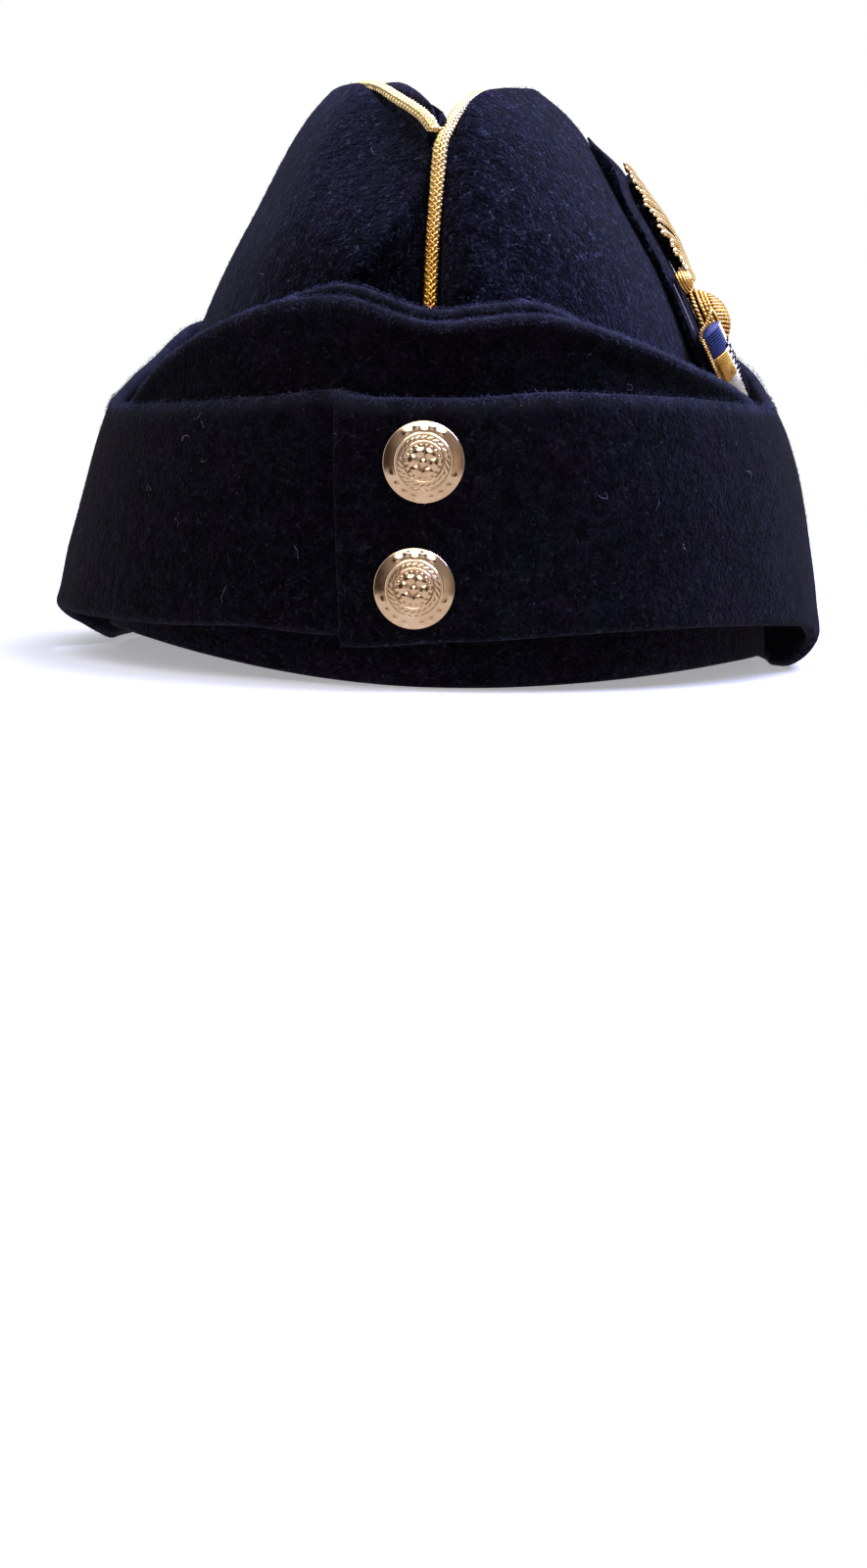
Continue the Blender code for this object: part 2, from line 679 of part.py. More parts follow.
corners = (
    (0, 0), (RIBBON_HALF, 0), (RIBBON_HALF, RIBBON_WALL), (0, RIBBON_WALL + GAP),
    (-RIBBON_HALF, RIBBON_WALL), (-RIBBON_HALF, 0),
)
runs = steps(RIBBON_LINE[1][0], RIBBON_LINE[-1][0], 16)
rows = [[ribbon_point(u, a, over_patch + h) for a, h in corners] for u in runs]
count = len(corners)
faces = [tuple(range(count))[::-1], tuple(range((len(rows) - 1) * count, len(rows) * count))]
for r in range(len(rows) - 1):
    for c in range(count):
        a, b = r * count + c, r * count + (c + 1) % count
        faces.append((a, b, b + count, a + count))
data = bpy.data.meshes.new("badge_ribbon")
data.from_pydata([point for row in rows for point in row], [], faces)
place("badge_ribbon", data, blue)
reach_out = RIBBON_HALF + (EDGE_RADIUS + GAP) / BADGE_SPAN
for name, across in (("badge_edge_upper", reach_out), ("badge_edge_lower", -reach_out)):
    path = [ribbon_point(u, across, over_patch + EDGE_RADIUS + GAP) for u in runs]
    cord(name, path, EDGE_RADIUS, purl).data.bevel_resolution = 1
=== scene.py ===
"""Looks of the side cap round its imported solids: wool cloth with nap, braided piping, gilt buttons and an
embroidered badge, on a plain pale floor with the camera at the photograph's angle."""
import math
from bisect import bisect_right
from functools import lru_cache, partial

import bmesh
import bpy
import numpy as np
from mathutils import Matrix, Vector, noise


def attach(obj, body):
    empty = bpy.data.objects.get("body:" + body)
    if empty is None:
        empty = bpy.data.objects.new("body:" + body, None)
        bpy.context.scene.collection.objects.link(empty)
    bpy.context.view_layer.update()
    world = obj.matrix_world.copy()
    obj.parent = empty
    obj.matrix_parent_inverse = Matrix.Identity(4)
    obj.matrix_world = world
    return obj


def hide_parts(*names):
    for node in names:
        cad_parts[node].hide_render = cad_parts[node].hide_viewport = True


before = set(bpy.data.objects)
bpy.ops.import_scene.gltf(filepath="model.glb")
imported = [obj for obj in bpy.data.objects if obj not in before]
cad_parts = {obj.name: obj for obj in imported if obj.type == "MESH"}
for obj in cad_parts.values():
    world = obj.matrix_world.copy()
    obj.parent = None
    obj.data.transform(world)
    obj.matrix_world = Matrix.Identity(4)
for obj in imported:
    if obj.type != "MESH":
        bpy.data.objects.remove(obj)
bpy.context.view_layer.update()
chance = np.random.default_rng(57)


class Table:
    """Short table: its first row names the columns, and the others are read smoothly by the first column."""

    def __init__(self, names, *rows):
        self.names = names
        self.rows = rows
        self.keys = [row[0] for row in rows]

    def at(self, key, column):
        """Smooth reading of one named column at key."""
        c = self.names.index(column)
        keys, rows = self.keys, self.rows
        if key <= keys[0]:
            return rows[0][c]
        if key >= keys[-1]:
            return rows[-1][c]
        i = bisect_right(keys, key) - 1
        before, after = max(i - 1, 0), min(i + 2, len(keys) - 1)
        y0, y1 = rows[i][c], rows[i + 1][c]
        m0 = (y1 - rows[before][c]) / (keys[i + 1] - keys[before])
        m1 = (rows[after][c] - y0) / (keys[after] - keys[i])
        width = keys[i + 1] - keys[i]
        t = (key - keys[i]) / width
        return ((2 * t**3 - 3 * t**2 + 1) * y0 + (t**3 - 2 * t**2 + t) * width * m0
                + (3 * t**2 - 2 * t**3) * y1 + (t**3 - t**2) * width * m1)


# Camera: lens and sensor in millimetres; pitch, swing and roll in degrees; place in metres
LENS = 43.425
SENSOR_HEIGHT = 36
CAMERA_TURNS = (8.361, -1.15, 1.8)
CAMERA_SPOT = (0.0095, -0.481, 0.036)

# Light from each direction, in bands: an axis of the direction, the values between which the light changes,
# and the light below and above them, each a colour or a further band
SKY = (
    "Z", -0.35, -0.05,
    ("Z", -0.97, -0.80, (5.0, 5.0, 7.2), ("Y", -0.30, 0.50, (0.52, 0.48, 0.45), (0.42, 0.42, 0.56))),
    ("Z", 0.30, 0.92, ("Y", -0.55, 0.35, (0.33, 0.28, 0.25), (0.34, 0.38, 0.57)), (1.15, 1.15, 1.45)),
)
# What metal reflects: dim at the sides, bright behind and above
SHINE_SIDE = (0.065, 0.040, 0.028)
SHINE_FRONT = ("Z", 0.04, 0.34, (0.58, 0.46, 0.36), (0.34, 0.28, 0.23))
SHINE_ROOM = ("X", 0.66, 0.90, ("X", -0.80, -0.52, SHINE_SIDE, SHINE_FRONT), SHINE_SIDE)
SHINE = (
    "Z", -0.30, -0.08, (0.82, 0.73, 0.64),
    ("Z", 0.66, 0.84, ("Y", -0.25, 0.35, SHINE_ROOM, (1.25, 1.20, 1.10)), (3.60, 3.30, 2.90)),
)
SKY_STRENGTH = 0.80
SUN_STRENGTH = 3.75
SUN_COLOUR = (0.82, 0.90, 1.75)
SUN_FROM = (0.54, 0.20, 0.80)
SUN_SPREAD = 40
FLOOR_GLOW = 0.35
FLOOR_HALF = 6
FLOOR_DROP = 0.0002

# Main sizes, in metres. The four measures of a span are its start and end, then its rise and fall.
RIM_HALF_WIDTH = 0.079
RIM_HALF_LENGTH = 0.101
CROWN_HEIGHT = 0.1305
RIDGE_HALF_GAP = 0.0235
FORWARD_SHIFT = 0.0047
FOOT_LIFT = 0.0006
RIM_RISE_RIGHT = 0.0060
RIM_RISE_LEFT = 0.0040
RIM_RISE_SPAN = (0, 88, 62, 20)
TOP_LEAN = -0.0020
# The front seam strays and bends sideways: how far, at which share of the height and over what reach
SEAM_STRAY, STRAY_LEVEL, STRAY_SPREAD = -0.0014, 0.55, 0.5
SEAM_BEND, BEND_LEVEL, BEND_RISE = 0.00065, 0.68, 0.16
STRAY_END = 0.20

# Cloth and gaps
CROWN_WALL = 0.0020
PEAK_WALL = 0.0026
PEAK_ROOM = 0.0008
CURTAIN_WALL = 0.0026
GAP = 0.0003
PIPING_PROUD = 0.0006
SHORT_START = 0.055
SHORT_END = 0.942

# The first row of each table names its columns.
# Crown: ridge lines from front seam (station 0) to rear seam (station 1), wearer's right then left.
# Across is of the half gap, along of the half length, height of the crown height, shoulder_out of the
# plan run and shoulder_drop of its own height.
RIGHT_RIDGE = Table(
    ("station", "across", "along", "height", "shoulder_out", "shoulder_drop"),
    (0.00, 0.000, -0.772, 0.837, 0.58, 0.28),
    (0.05, 0.085, -0.732, 0.867, 0.60, 0.26),
    (0.09, 0.190, -0.685, 0.892, 0.607, 0.249),
    (0.14, 0.375, -0.610, 0.922, 0.612, 0.225),
    (0.20, 0.560, -0.520, 0.953, 0.622, 0.205),
    (0.25, 0.697, -0.440, 0.970, 0.618, 0.230),
    (0.32, 0.843, -0.330, 0.982, 0.629, 0.235),
    (0.40, 0.946, -0.190, 0.990, 0.654, 0.226),
    (0.55, 0.986, 0.110, 0.990, 0.673, 0.218),
    (0.70, 0.924, 0.400, 0.962, 0.660, 0.205),
    (0.85, 0.590, 0.710, 0.880, 0.615, 0.250),
    (1.00, 0.000, 0.930, 0.770, 0.50, 0.30),
)
LEFT_RIDGE = Table(
    ("station", "across", "along", "height", "shoulder_out", "shoulder_drop"),
    (0.00, 0.000, -0.772, 0.837, 0.58, 0.28),
    (0.05, 0.060, -0.732, 0.861, 0.60, 0.26),
    (0.09, 0.130, -0.685, 0.889, 0.622, 0.215),
    (0.14, 0.251, -0.610, 0.924, 0.643, 0.188),
    (0.20, 0.400, -0.520, 0.946, 0.672, 0.174),
    (0.25, 0.532, -0.440, 0.960, 0.688, 0.174),
    (0.32, 0.645, -0.330, 0.976, 0.713, 0.170),
    (0.40, 0.734, -0.190, 0.982, 0.728, 0.166),
    (0.55, 0.774, 0.110, 0.984, 0.717, 0.163),
    (0.70, 0.780, 0.400, 0.955, 0.650, 0.165),
    (0.85, 0.538, 0.710, 0.878, 0.608, 0.232),
    (1.00, 0.000, 0.930, 0.770, 0.50, 0.30),
)
RIDGES = {1: LEFT_RIDGE, -1: RIGHT_RIDGE}
FOOT_RISE = 0.276
FOOT_IN = {1: 0.116, -1: 0.126}
# The cloth swells over its ridge: how far, and the span of stations; then the span of levels
PUFFS = {1: (0.0057, (0.0, 0.75, 0.12, 0.3)), -1: (0.0054, (0.124, 0.75, 0.12, 0.3))}
PUFF_LEVELS = (0.72, 1, 0.20, 0.05)
# Folded top: the fold lies nearer the wearer's left ridge in front, and a roll swells beside the right one
VALLEY_DEPTH = 0.0120
VALLEY_SPAN = (0, 1, 0.35, 0.35)
VALLEY_BEND = 1.8
FOLD_PLACE = 0.62
FOLD_START, FOLD_FADE = 0.3, 0.4
TOP_ROLL = 0.0026
TOP_ROLL_SPAN = (0, 0.62, 0.10, 0.3)
TOP_ROLL_WIDTH = 1.15

# Front lobes beside the seam: how far the cloth swells out, and where the swelling starts
LOBE_DEPTH = 0.0075
LOBE_LEVEL = 0.68
LOBE_SPREAD = 0.30
LOBE_SPREAD_LOW = 0.5
LOBE_END = 0.40
LOBE_FALL = 0.30
LEFT_LOBE_RISE = 0.060
RIGHT_DENT_LOW = 0.085
RIGHT_DENT_HIGH = 0.012
RIGHT_DENT_LEVEL, RIGHT_DENT_SLANT = 0.55, 0.35
RIGHT_LOBE_RISE = 0.030

# Peak: height of its top edge, by turn round the front in degrees (wearer's right is negative)
PEAK_HEIGHT = 0.0765
PEAK_EDGE = Table(
    ("turn", "top"),
    (-71, 0.710), (-61, 0.760), (-51, 0.846), (-43, 0.899), (-36, 0.939), (-30, 0.968),
    (-25, 0.988), (-21, 0.996), (-16, 1.000), (-12, 0.993), (-8, 0.970), (-3, 0.943),
    (1, 0.937), (5, 0.948), (10, 0.961), (14, 0.968), (21, 0.957), (31, 0.920),
    (43, 0.872), (56, 0.828), (64, 0.795), (71, 0.760),
)
PEAK_END = 71
PEAK_TOP_IN = 0.075

# Curtain section at the side, from the rim fold outwards and up.
# Run is along the cloth and rise is the height, both of curtain height; stand is how far the inner
# face stands off the rim, of curtain stand.
CURTAIN_HEIGHT = 0.0867
CURTAIN_STAND = 0.0127
SECTION_COLUMNS = ("run", "stand", "rise")
ROLL_LEFT = (
    (0.000, 0.047, 0.000), (0.046, 0.362, 0.003), (0.092, 0.646, 0.024),
    (0.138, 0.866, 0.058), (0.185, 0.992, 0.099),
)
ROLL_RIGHT = (
    (0.000, 0.047, 0.000), (0.046, 0.283, 0.031), (0.092, 0.543, 0.058),
    (0.138, 0.811, 0.082), (0.185, 1.000, 0.116),
)
CURTAIN_SECTION = (
    (0.242, 0.937, 0.167), (0.340, 0.819, 0.265), (0.415, 0.693, 0.337),
    (0.557, 0.433, 0.476), (0.652, 0.260, 0.567), (0.732, 0.079, 0.646),
    (0.784, -0.063, 0.692), (0.845, -0.244, 0.750), (0.946, -0.331, 0.854),
    (1.096, -0.378, 1.003), (1.188, -0.394, 1.096),
)
SECTIONS = {
    1: Table(SECTION_COLUMNS, *ROLL_LEFT, *CURTAIN_SECTION),
    -1: Table(SECTION_COLUMNS, *ROLL_RIGHT, *CURTAIN_SECTION),
}
REAR_START = 0.0030
REAR_STAND = 0.15
SIDE_TURN, SIDE_FADE = 90, 35
FRONT_ROOM = 0.0006
LAP_ROOM = 0.0005
LAP_START, LAP_FADE = 15, 55
LAP_EDGE = -12.3
LAP_SKEW, SKEW_LEVEL, SKEW_FADE = 3.2, 0.45, 30
LEFT_SWELL, SWELL_LEVEL, SWELL_SPREAD = 0.0012, 0.52, 0.29

# Curtain edges by turn round the cap in degrees: run at the lower edge (low) and height of the top
# edge (high), both of curtain height
RIGHT_CURTAIN = Table(
    ("turn", "low", "high"),
    (-13, 0.219, 0.629), (4, 0.219, 0.640), (8, 0.210, 0.649), (11, 0.185, 0.663),
    (14, 0.183, 0.671), (18, 0.187, 0.667), (24, 0.194, 0.656), (40, 0.175, 0.647),
    (61, 0.173, 0.653), (70, 0.173, 0.663), (76, 0.127, 0.686), (81, 0.040, 0.706),
    (86, 0.000, 0.744), (100, 0.000, 0.836), (112, 0.000, 0.946), (124, 0.000, 0.994),
    (140, 0.000, 0.986), (160, 0.000, 0.937), (179.83, 0.000, 0.894),
)
LEFT_CURTAIN = Table(
    ("turn", "low", "high"),
    (-12.3, 0.176, 0.664), (-8, 0.179, 0.653), (1, 0.194, 0.653), (6, 0.198, 0.657),
    (16, 0.210, 0.677), (25, 0.219, 0.683), (41, 0.226, 0.691), (58, 0.219, 0.699),
    (67, 0.205, 0.707), (73, 0.156, 0.717), (78, 0.058, 0.735), (82, 0.000, 0.755),
    (92, 0.000, 0.819), (106, 0.000, 0.900), (118, 0.000, 0.971), (130, 0.000, 1.000),
    (145, 0.000, 0.983), (162, 0.000, 0.937), (179.83, 0.000, 0.894),
)
CURTAINS = {1: LEFT_CURTAIN, -1: RIGHT_CURTAIN}

# Buttons. Columns: name, turn round the cap (degrees), height (of curtain height)
BUTTONS = (("button_upper", -1.0, 0.510), ("button_lower", -1.7, 0.231))
BUTTON_RADIUS = 0.0084
BUTTON_DEPTH = 0.0044
BUTTON_STEPS = (75, 156)
# Rings of relief on its face. Columns: radius share, half width, height (of depth)
OUTER_RING, INNER_RING = (0.66, 0.020, 0.065), (0.475, 0.018, 0.065)
BEADS, DOTS = (0.57, 0.050, 0.060), (0.40, 0.035, 0.050)
PETALS, HEART = (0.25, 0.090, 0.120), (0, 0.065, 0.11)
LEAF_WIDTH = 0.060
# Leaves of the wreath. Columns: radius share, turn (degrees), half width (radians), height (of depth)
BUTTON_LEAVES = (
    (0.80, 60, 0.10, 0.10), (0.84, 78, 0.08, 0.12), (0.84, 102, 0.08, 0.12), (0.80, 120, 0.10, 0.10),
    (0.74, 90, 0.10, 0.08), (0.78, 205, 0.10, 0.06), (0.82, 222, 0.10, 0.07), (0.84, 239, 0.10, 0.08),
    (0.85, 256, 0.10, 0.08), (0.84, 301, 0.10, 0.08), (0.85, 284, 0.10, 0.08), (0.82, 318, 0.10, 0.07),
    (0.78, 335, 0.10, 0.06),
)
# Back of a button. Columns: radius share, depth share
BUTTON_BACK = ((0.972, 0.12), (0.958, 0.04), (0.93, 0.0), (0.85, 0.0))

# Badge on the wearer's left panel. Its chart runs back (u) and up (w) over the cloth from a foot point.
# Lengths in the chart are shares of the badge span, the patch's height along the cloth.
BADGE_SPAN = 0.072
BADGE_STATION = 0.405
BADGE_LEVEL = 0.340
CHART_DROP = 0.167
PATCH_WALL = 0.0020
CLEAR = 0.00035
BADGE_FLARE = 0.0018
FLARE_START = 0.60
PATCH_CENTRE = (0.014, 0.403)
# Turn is round the patch centre, in degrees from up towards the rear
PATCH_REACH = Table(
    ("turn", "reach"),
    (0, 0.575), (20, 0.535), (45, 0.375), (75, 0.264), (100, 0.257),
    (125, 0.299), (150, 0.431), (180, 0.486), (208, 0.431), (235, 0.299),
    (262, 0.257), (285, 0.271), (315, 0.380), (340, 0.535), (360, 0.575),
)
SPRAY_CENTRE = (0.014, 0.646)
SPRAY_REACH = (0.188, 0.222)
KNOT_RADIUS = 0.033
KNOTS = (("badge_knot_front", -0.178, 0.396), ("badge_knot_rear", 0.206, 0.396))
BOSS_CENTRE = (0.014, 0.285)
BOSS_RADIUS = 0.106
# The ribbon hangs in a curve under the boss
RIBBON_LINE = Table(
    ("along", "height"),
    (-0.225, 0.262), (-0.185, 0.186), (-0.142, 0.118), (-0.087, 0.060), (-0.025, 0.026),
    (0.042, 0.023), (0.105, 0.053), (0.160, 0.108), (0.204, 0.178), (0.244, 0.257),
)
RIBBON_HALF = 0.047
RIBBON_WALL = 0.0028

# Looks only, from here on. Steps of the grids, and how closely their lines bunch at seams and top edges
CROWN_STEPS = (148, 60)
TOP_STEPS, TOP_REACH = (110, 32), (0.022, 0.985)
PEAK_STEPS = 160
CURTAIN_STEPS = (190, 38)
STATION_BUNCH, LEVEL_BUNCH, PEAK_BUNCH = 0.55, 1.3, 1.7
LOWEST_LEVEL = 0.02
SEAM_STEPS, RIDGE_STEPS, SOFTENINGS = 20, 90, 60
HALVINGS = 40
# Ripples in the cloth, rolls at seams and folds
WAVE = 0.00035
BAND_WAVE = 0.0003
TOP_WAVE = 0.0002
WAVE_LONG = 0.030
WAVE_SHORT, SHORT_SHARE = 0.009, 0.35
TUCK_REACH = 0.0032
TUCK_DEPTH = 0.0018
PEAK_FOLD = 0.0013
PEAK_BEAD, PEAK_BEAD_REACH, PEAK_BEAD_BEND = 0.0015, 0.0064, 0.62
PEAK_STEP = 0.0025
PEAK_STEP_SPAN = (-28.5, 26.5, 14, 14)
# Painted highlight along the top edges of the cloth, where light catches the fuzz: how far down it reaches,
# the size of its uneven patches, and its strength on the peak and the curtain
EDGE_HIGHLIGHT_REACH = 0.0017
EDGE_HIGHLIGHT_PATCHES = 0.004
PEAK_EDGE_HIGHLIGHT, CURTAIN_EDGE_HIGHLIGHT = 0.9, 0.45
# Heights over which the gilt braid grows paler: a painted highlight on its upper part, where the light from
# above catches it
PALE_FROM, PALE_TO = 0.080, 0.122
# Braid: step along the cord, pitch and radii of its strands, and the tape in the seam under it
BRAID_STEP = 0.00042
BRAID_PITCH = 0.0082
BRAID_STRANDS = 6
BRAID_CORE = 0.00092
BRAID_RADIUS = 0.00106
BRAID_WEAVE = 0.00022
STRAND_RADIUS = 0.00041
TAPE_DEPTH = 0.0012
TAPE_RADIUS = 0.0015
# Badge: its padding and its purl, which is coiled wire of this radius, pitch, step and number of sides
PURL_SWELL = 0.08
ON_PATCH = CLEAR * 2 + PATCH_WALL
SPRAY_CREST = 0.0027
SPRAY_BARBS = 24
SPRAY_PURL = (0.00050, 0.00070, 0.00026, 6)
COLLAR_PURL = (0.00055, 0.0008, 0.00026, 6)
BOSS_TOP = 0.00702
BOSS_FALL, BOSS_BEND = 0.80, 2.2
BOSS_COIL_START, BOSS_COIL_TURNS = 0.68, 3.6
BOSS_CORD, BOSS_CORD_PITCH, BOSS_CORD_SWELL = 0.00050, 0.00105, 0.16
BOSS_RING_OUT, BOSS_RING_CORD = 0.008, (0.0006, 0.0022)
BOSS_ROWS, BOSS_ROWS_END = 13, 0.72
BOSS_PURL = (0.00037, 0.00062)
KNOT_TURNS, KNOT_END = 6.2, math.pi * 0.62
KNOT_PURL = (0.00042, 0.00062)
RIBBON_TILT = 0.0038
RIBBON_INSET = 0.019
RIBBON_START, RIBBON_END = RIBBON_LINE.keys[0] + RIBBON_INSET, RIBBON_LINE.keys[-1] - RIBBON_INSET
RIBBON_THREADS = 104
RIBBON_SILK_END, RIBBON_FOLD_END = 0.09, 0.20
SILVER_PURL = (0.00027, 0.00055, 0.0003, 5)
FOLD_PURL = (0.00040, 0.00044, 0.0002, 6)
# Cords along the ribbon's edges. Columns: distance out, radius
EDGE_CORDS = ((0.0007, 0.00045), (0.0016, 0.00038))
EDGE_PITCH = 0.0015
# Fibres: one in so many is pale lint, and those of an edge reach so far down from it
FIBRE_LENGTH = 0.0036
FIBRE_RADIUS = 0.000042
FIBRE_STEPS = 26
NAP_THICK, BAND_NAP_THICK, LINT_THICK = 0.000050, 0.000034, 0.000038
NAP_LENGTH, LINT_LENGTH = 0.0013, 0.0015
LINT_SHARE = 30
EDGE_REACH = 0.0030
# Numbers of fibres, on a cloth and along its top edge
CROWN_FIBRES, TOP_FIBRES, CURTAIN_FIBRES, PATCH_FIBRES = (15000, 0), (2600, 0), (6500, 3000), (700, 0)
PEAK_FIBRES, LINING_FIBRES = (3200, 7000), (500, 6000)
# Angles in degrees at which fibres stand
NAP_STAND, LINT_STAND, EDGE_STAND = (3, 32), (1, 14), (0, 40)


def mix(a, b, share):
    """Value at this share of the way from a to b."""
    return a + (b - a) * share


def ease(x):
    """Smooth step from 0 to 1."""
    x = min(max(x, 0.0), 1.0)
    return x * x * (3 - 2 * x)


def within(x, start, end, rise, fall):
    """Smooth rise from 0 to 1 after the start of a span, and fall to 0 before its end."""
    return ease((x - start) / rise) * ease((end - x) / fall)


def hump(x, middle, reach):
    """Smooth hump of height 1 at its middle."""
    return ease(1 - abs(x - middle) / reach)


def bezier(points, t):
    """Point of a cubic curve at t."""
    a, b, c, d = points
    s = 1 - t
    return a * s**3 + b * 3 * s * s * t + c * 3 * s * t * t + d * t**3


def rim_height(turn):
    """The rim lifts a little between the front and the sides, and lies flat at the front and rear."""
    return (RIM_RISE_LEFT if turn > 0 else RIM_RISE_RIGHT) * within(abs(turn), *RIM_RISE_SPAN)


def outward(turn):
    """Level direction out of the rim at this turn."""
    angle = math.radians(turn)
    return Vector((math.sin(angle) / RIM_HALF_WIDTH, -math.cos(angle) / RIM_HALF_LENGTH, 0)).normalized()


def leaning(point, station):
    """The point moved sideways by the crown's lean, with the front seam's stray."""
    share = point.z / CROWN_HEIGHT
    stray = SEAM_STRAY * hump(share, STRAY_LEVEL, STRAY_SPREAD)
    stray += SEAM_BEND * ease((share - BEND_LEVEL) / BEND_RISE)
    return point + Vector((TOP_LEAN * share**2 + stray * (1 - ease(station / STRAY_END)), 0, 0))


def ridge_line(side, station):
    """Centre of the ridge piping on this side of the crown, before the lean."""
    table = RIDGES[side]
    return Vector((
        side * table.at(station, "across") * RIDGE_HALF_GAP,
        table.at(station, "along") * RIM_HALF_LENGTH,
        table.at(station, "height") * CROWN_HEIGHT,
    ))


def ridge_point(side, station):
    """Centre of the ridge piping on this side of the crown."""
    return leaning(ridge_line(side, station), station)


def rib(side, station):
    """Control points of the crown's section at this station, from rim to ridge."""
    turn = 180 * station
    angle = math.radians(turn)
    foot = Vector((side * RIM_HALF_WIDTH * math.sin(angle), -RIM_HALF_LENGTH * math.cos(angle), 0))
    foot.z = rim_height(side * turn) + FOOT_LIFT
    head = ridge_line(side, station)
    run = Vector((foot.x - head.x, foot.y - head.y, 0))
    lower = foot - run * FOOT_IN[side] + Vector((0, 0, FOOT_RISE * head.z))
    drop = Vector((0, 0, RIDGES[side].at(station, "shoulder_drop") * head.z))
    return foot, lower, head + run * RIDGES[side].at(station, "shoulder_out") - drop, head


def lobe(side, station, level):
    """Swelling of the cloth beside the front seam; on the wearer's right it starts at a slanting dent."""
    start, rise = 0, LEFT_LOBE_RISE
    if side < 0:
        slant = ease((level - RIGHT_DENT_LEVEL) / RIGHT_DENT_SLANT)
        start, rise = mix(RIGHT_DENT_LOW, RIGHT_DENT_HIGH, slant), RIGHT_LOBE_RISE
    height = hump(level, LOBE_LEVEL, LOBE_SPREAD if level > LOBE_LEVEL else LOBE_SPREAD_LOW)
    return LOBE_DEPTH * height * within(station, start, LOBE_END, rise, LOBE_FALL)


def crown_point(side, station, level):
    """Outer surface of one side of the crown."""
    point = bezier(rib(side, station), level)
    away = outward(180 * station)
    point += Vector((side * away.x, away.y, 0)) * lobe(side, station, level)
    most, stations = PUFFS[side]
    point.z += most * within(station, *stations) * within(level, *PUFF_LEVELS)
    return leaning(point, station)


def open_top(station, share):
    """Folded top from ridge to ridge: a fold, and a roll of cloth on its wide side."""
    point = ridge_point(-1, station).lerp(ridge_point(1, station), share)
    fold = mix(FOLD_PLACE, 0.5, ease((station - FOLD_START) / FOLD_FADE))
    inward = share / fold if share < fold else (1 - share) / (1 - fold)
    depth = VALLEY_DEPTH * within(station, *VALLEY_SPAN)
    point.z -= depth * 0.5 * (1 - math.cos(math.pi * inward**VALLEY_BEND))
    if share < fold:
        roll = math.sin(math.pi * min(inward * TOP_ROLL_WIDTH, 1))
        point.z += TOP_ROLL * within(station, *TOP_ROLL_SPAN) * roll
    return point


def peak_point(turn, share):
    """Outer surface of the turned-up peak."""
    height = mix(rim_height(turn), PEAK_EDGE.at(turn, "top") * PEAK_HEIGHT, share)
    half_width = (RIM_HALF_WIDTH + PEAK_ROOM + PEAK_WALL) * (1 - PEAK_TOP_IN * (height / PEAK_HEIGHT))
    half_length = RIM_HALF_LENGTH + PEAK_ROOM + PEAK_WALL
    angle = math.radians(turn)
    return Vector((half_width * math.sin(angle), -half_length * math.cos(angle), height))


@lru_cache(maxsize=None)
def run_at(side, height):
    """Run along the curtain's section at which it reaches this height, all as shares."""
    low, high = 0.0, CURTAIN_SECTION[-1][0]
    for _ in range(HALVINGS):
        middle = (low + high) / 2
        if SECTIONS[side].at(middle, "rise") < height:
            low = middle
        else:
            high = middle
    return high


def curtain_point(side, turn, share):
    """Outer surface of one curtain half; turn is counted from the front towards its own side."""
    edges, section = CURTAINS[side], SECTIONS[side]
    run = mix(edges.at(turn, "low"), run_at(side, edges.at(turn, "high")), share)
    level = section.at(run, "rise")
    stand = CURTAIN_WALL + CURTAIN_STAND * section.at(run, "stand")
    front = PEAK_ROOM + PEAK_WALL + FRONT_ROOM + CURTAIN_WALL
    if side > 0:
        front += (LAP_ROOM + CURTAIN_WALL) * (1 - ease((turn - LAP_START) / LAP_FADE))
        stand += LEFT_SWELL * hump(level, SWELL_LEVEL, SWELL_SPREAD)
        turn -= LAP_SKEW * (share - SKEW_LEVEL) * (1 - ease((turn - LAP_EDGE) / SKEW_FADE))
    rear = REAR_START + REAR_STAND * stand
    half_length = RIM_HALF_LENGTH + mix(rear, front, ease((SIDE_TURN - turn) / SIDE_FADE))
    across = side * (RIM_HALF_WIDTH + stand) * math.sin(math.radians(turn))
    return Vector((across, -half_length * math.cos(math.radians(turn)), level * CURTAIN_HEIGHT))


SHIFT = np.array((0, FORWARD_SHIFT, 0))
INSIDE = np.array((0, 0, 0.02))
ALL_BORDERS = ((0, 0), (0, -1), (1, 0), (1, -1))
EDGE_RINGS = 5


def unit(vectors):
    """Vectors of length 1."""
    return vectors / np.maximum(np.linalg.norm(vectors, axis=-1, keepdims=True), 1e-12)


def smooth(x):
    """Smooth step from 0 to 1, for arrays."""
    x = np.clip(x, 0, 1)
    return x * x * (3 - 2 * x)


def steps(start, end, count):
    """Evenly spaced values, ends included."""
    return [mix(start, end, i / count) for i in range(count + 1)]


def grid_of(function, first, second):
    """Array of points in the frame, first index along the first values."""
    return np.array([[tuple(function(a, b)) for b in second] for a in first]) + SHIFT


def between(values, i, j, a, b):
    """Values read between the nodes of a grid, past node i, j by the shares a and b."""
    a, b = a[..., None], b[..., None]
    return ((1 - a) * (1 - b) * values[i, j] + a * (1 - b) * values[i + 1, j]
            + (1 - a) * b * values[i, j + 1] + a * b * values[i + 1, j + 1])


def cells(rows, columns, closed=False):
    """Quads of a grid of points, closed round its second index if asked."""
    r, c = np.meshgrid(np.arange(rows - 1), np.arange(columns if closed else columns - 1), indexing="ij")
    a = (r * columns + c).ravel()
    b = (r * columns + (c + 1) % columns).ravel()
    return np.stack([a, b, b + columns, a + columns], axis=1)


def capped(rings, count):
    """Faces of a closed form: a first point, rings of count points, and a last point."""
    faces = (cells(rings, count, True) + 1).tolist()
    last = rings * count + 1
    for k in range(count):
        following = (k + 1) % count
        faces.append([0, 1 + following, 1 + k])
        faces.append([last, last - count + k, last - count + following])
    return faces


def facing_out(grid):
    """Unit normals of a grid, pointing away from the cap's inside."""
    out = unit(np.cross(np.gradient(grid, axis=0), np.gradient(grid, axis=1)))
    return out if np.sum(out * (grid - SHIFT - INSIDE)) > 0 else -out


def lengths(grid, axis, end):
    """Distance of each point from one border of the grid, along the grid's lines."""
    run = np.linalg.norm(np.diff(grid, axis=axis), axis=-1)
    run = np.insert(np.cumsum(run, axis=axis), 0, 0, axis=axis)
    return run if end == 0 else np.take(run, [-1], axis=axis) - run


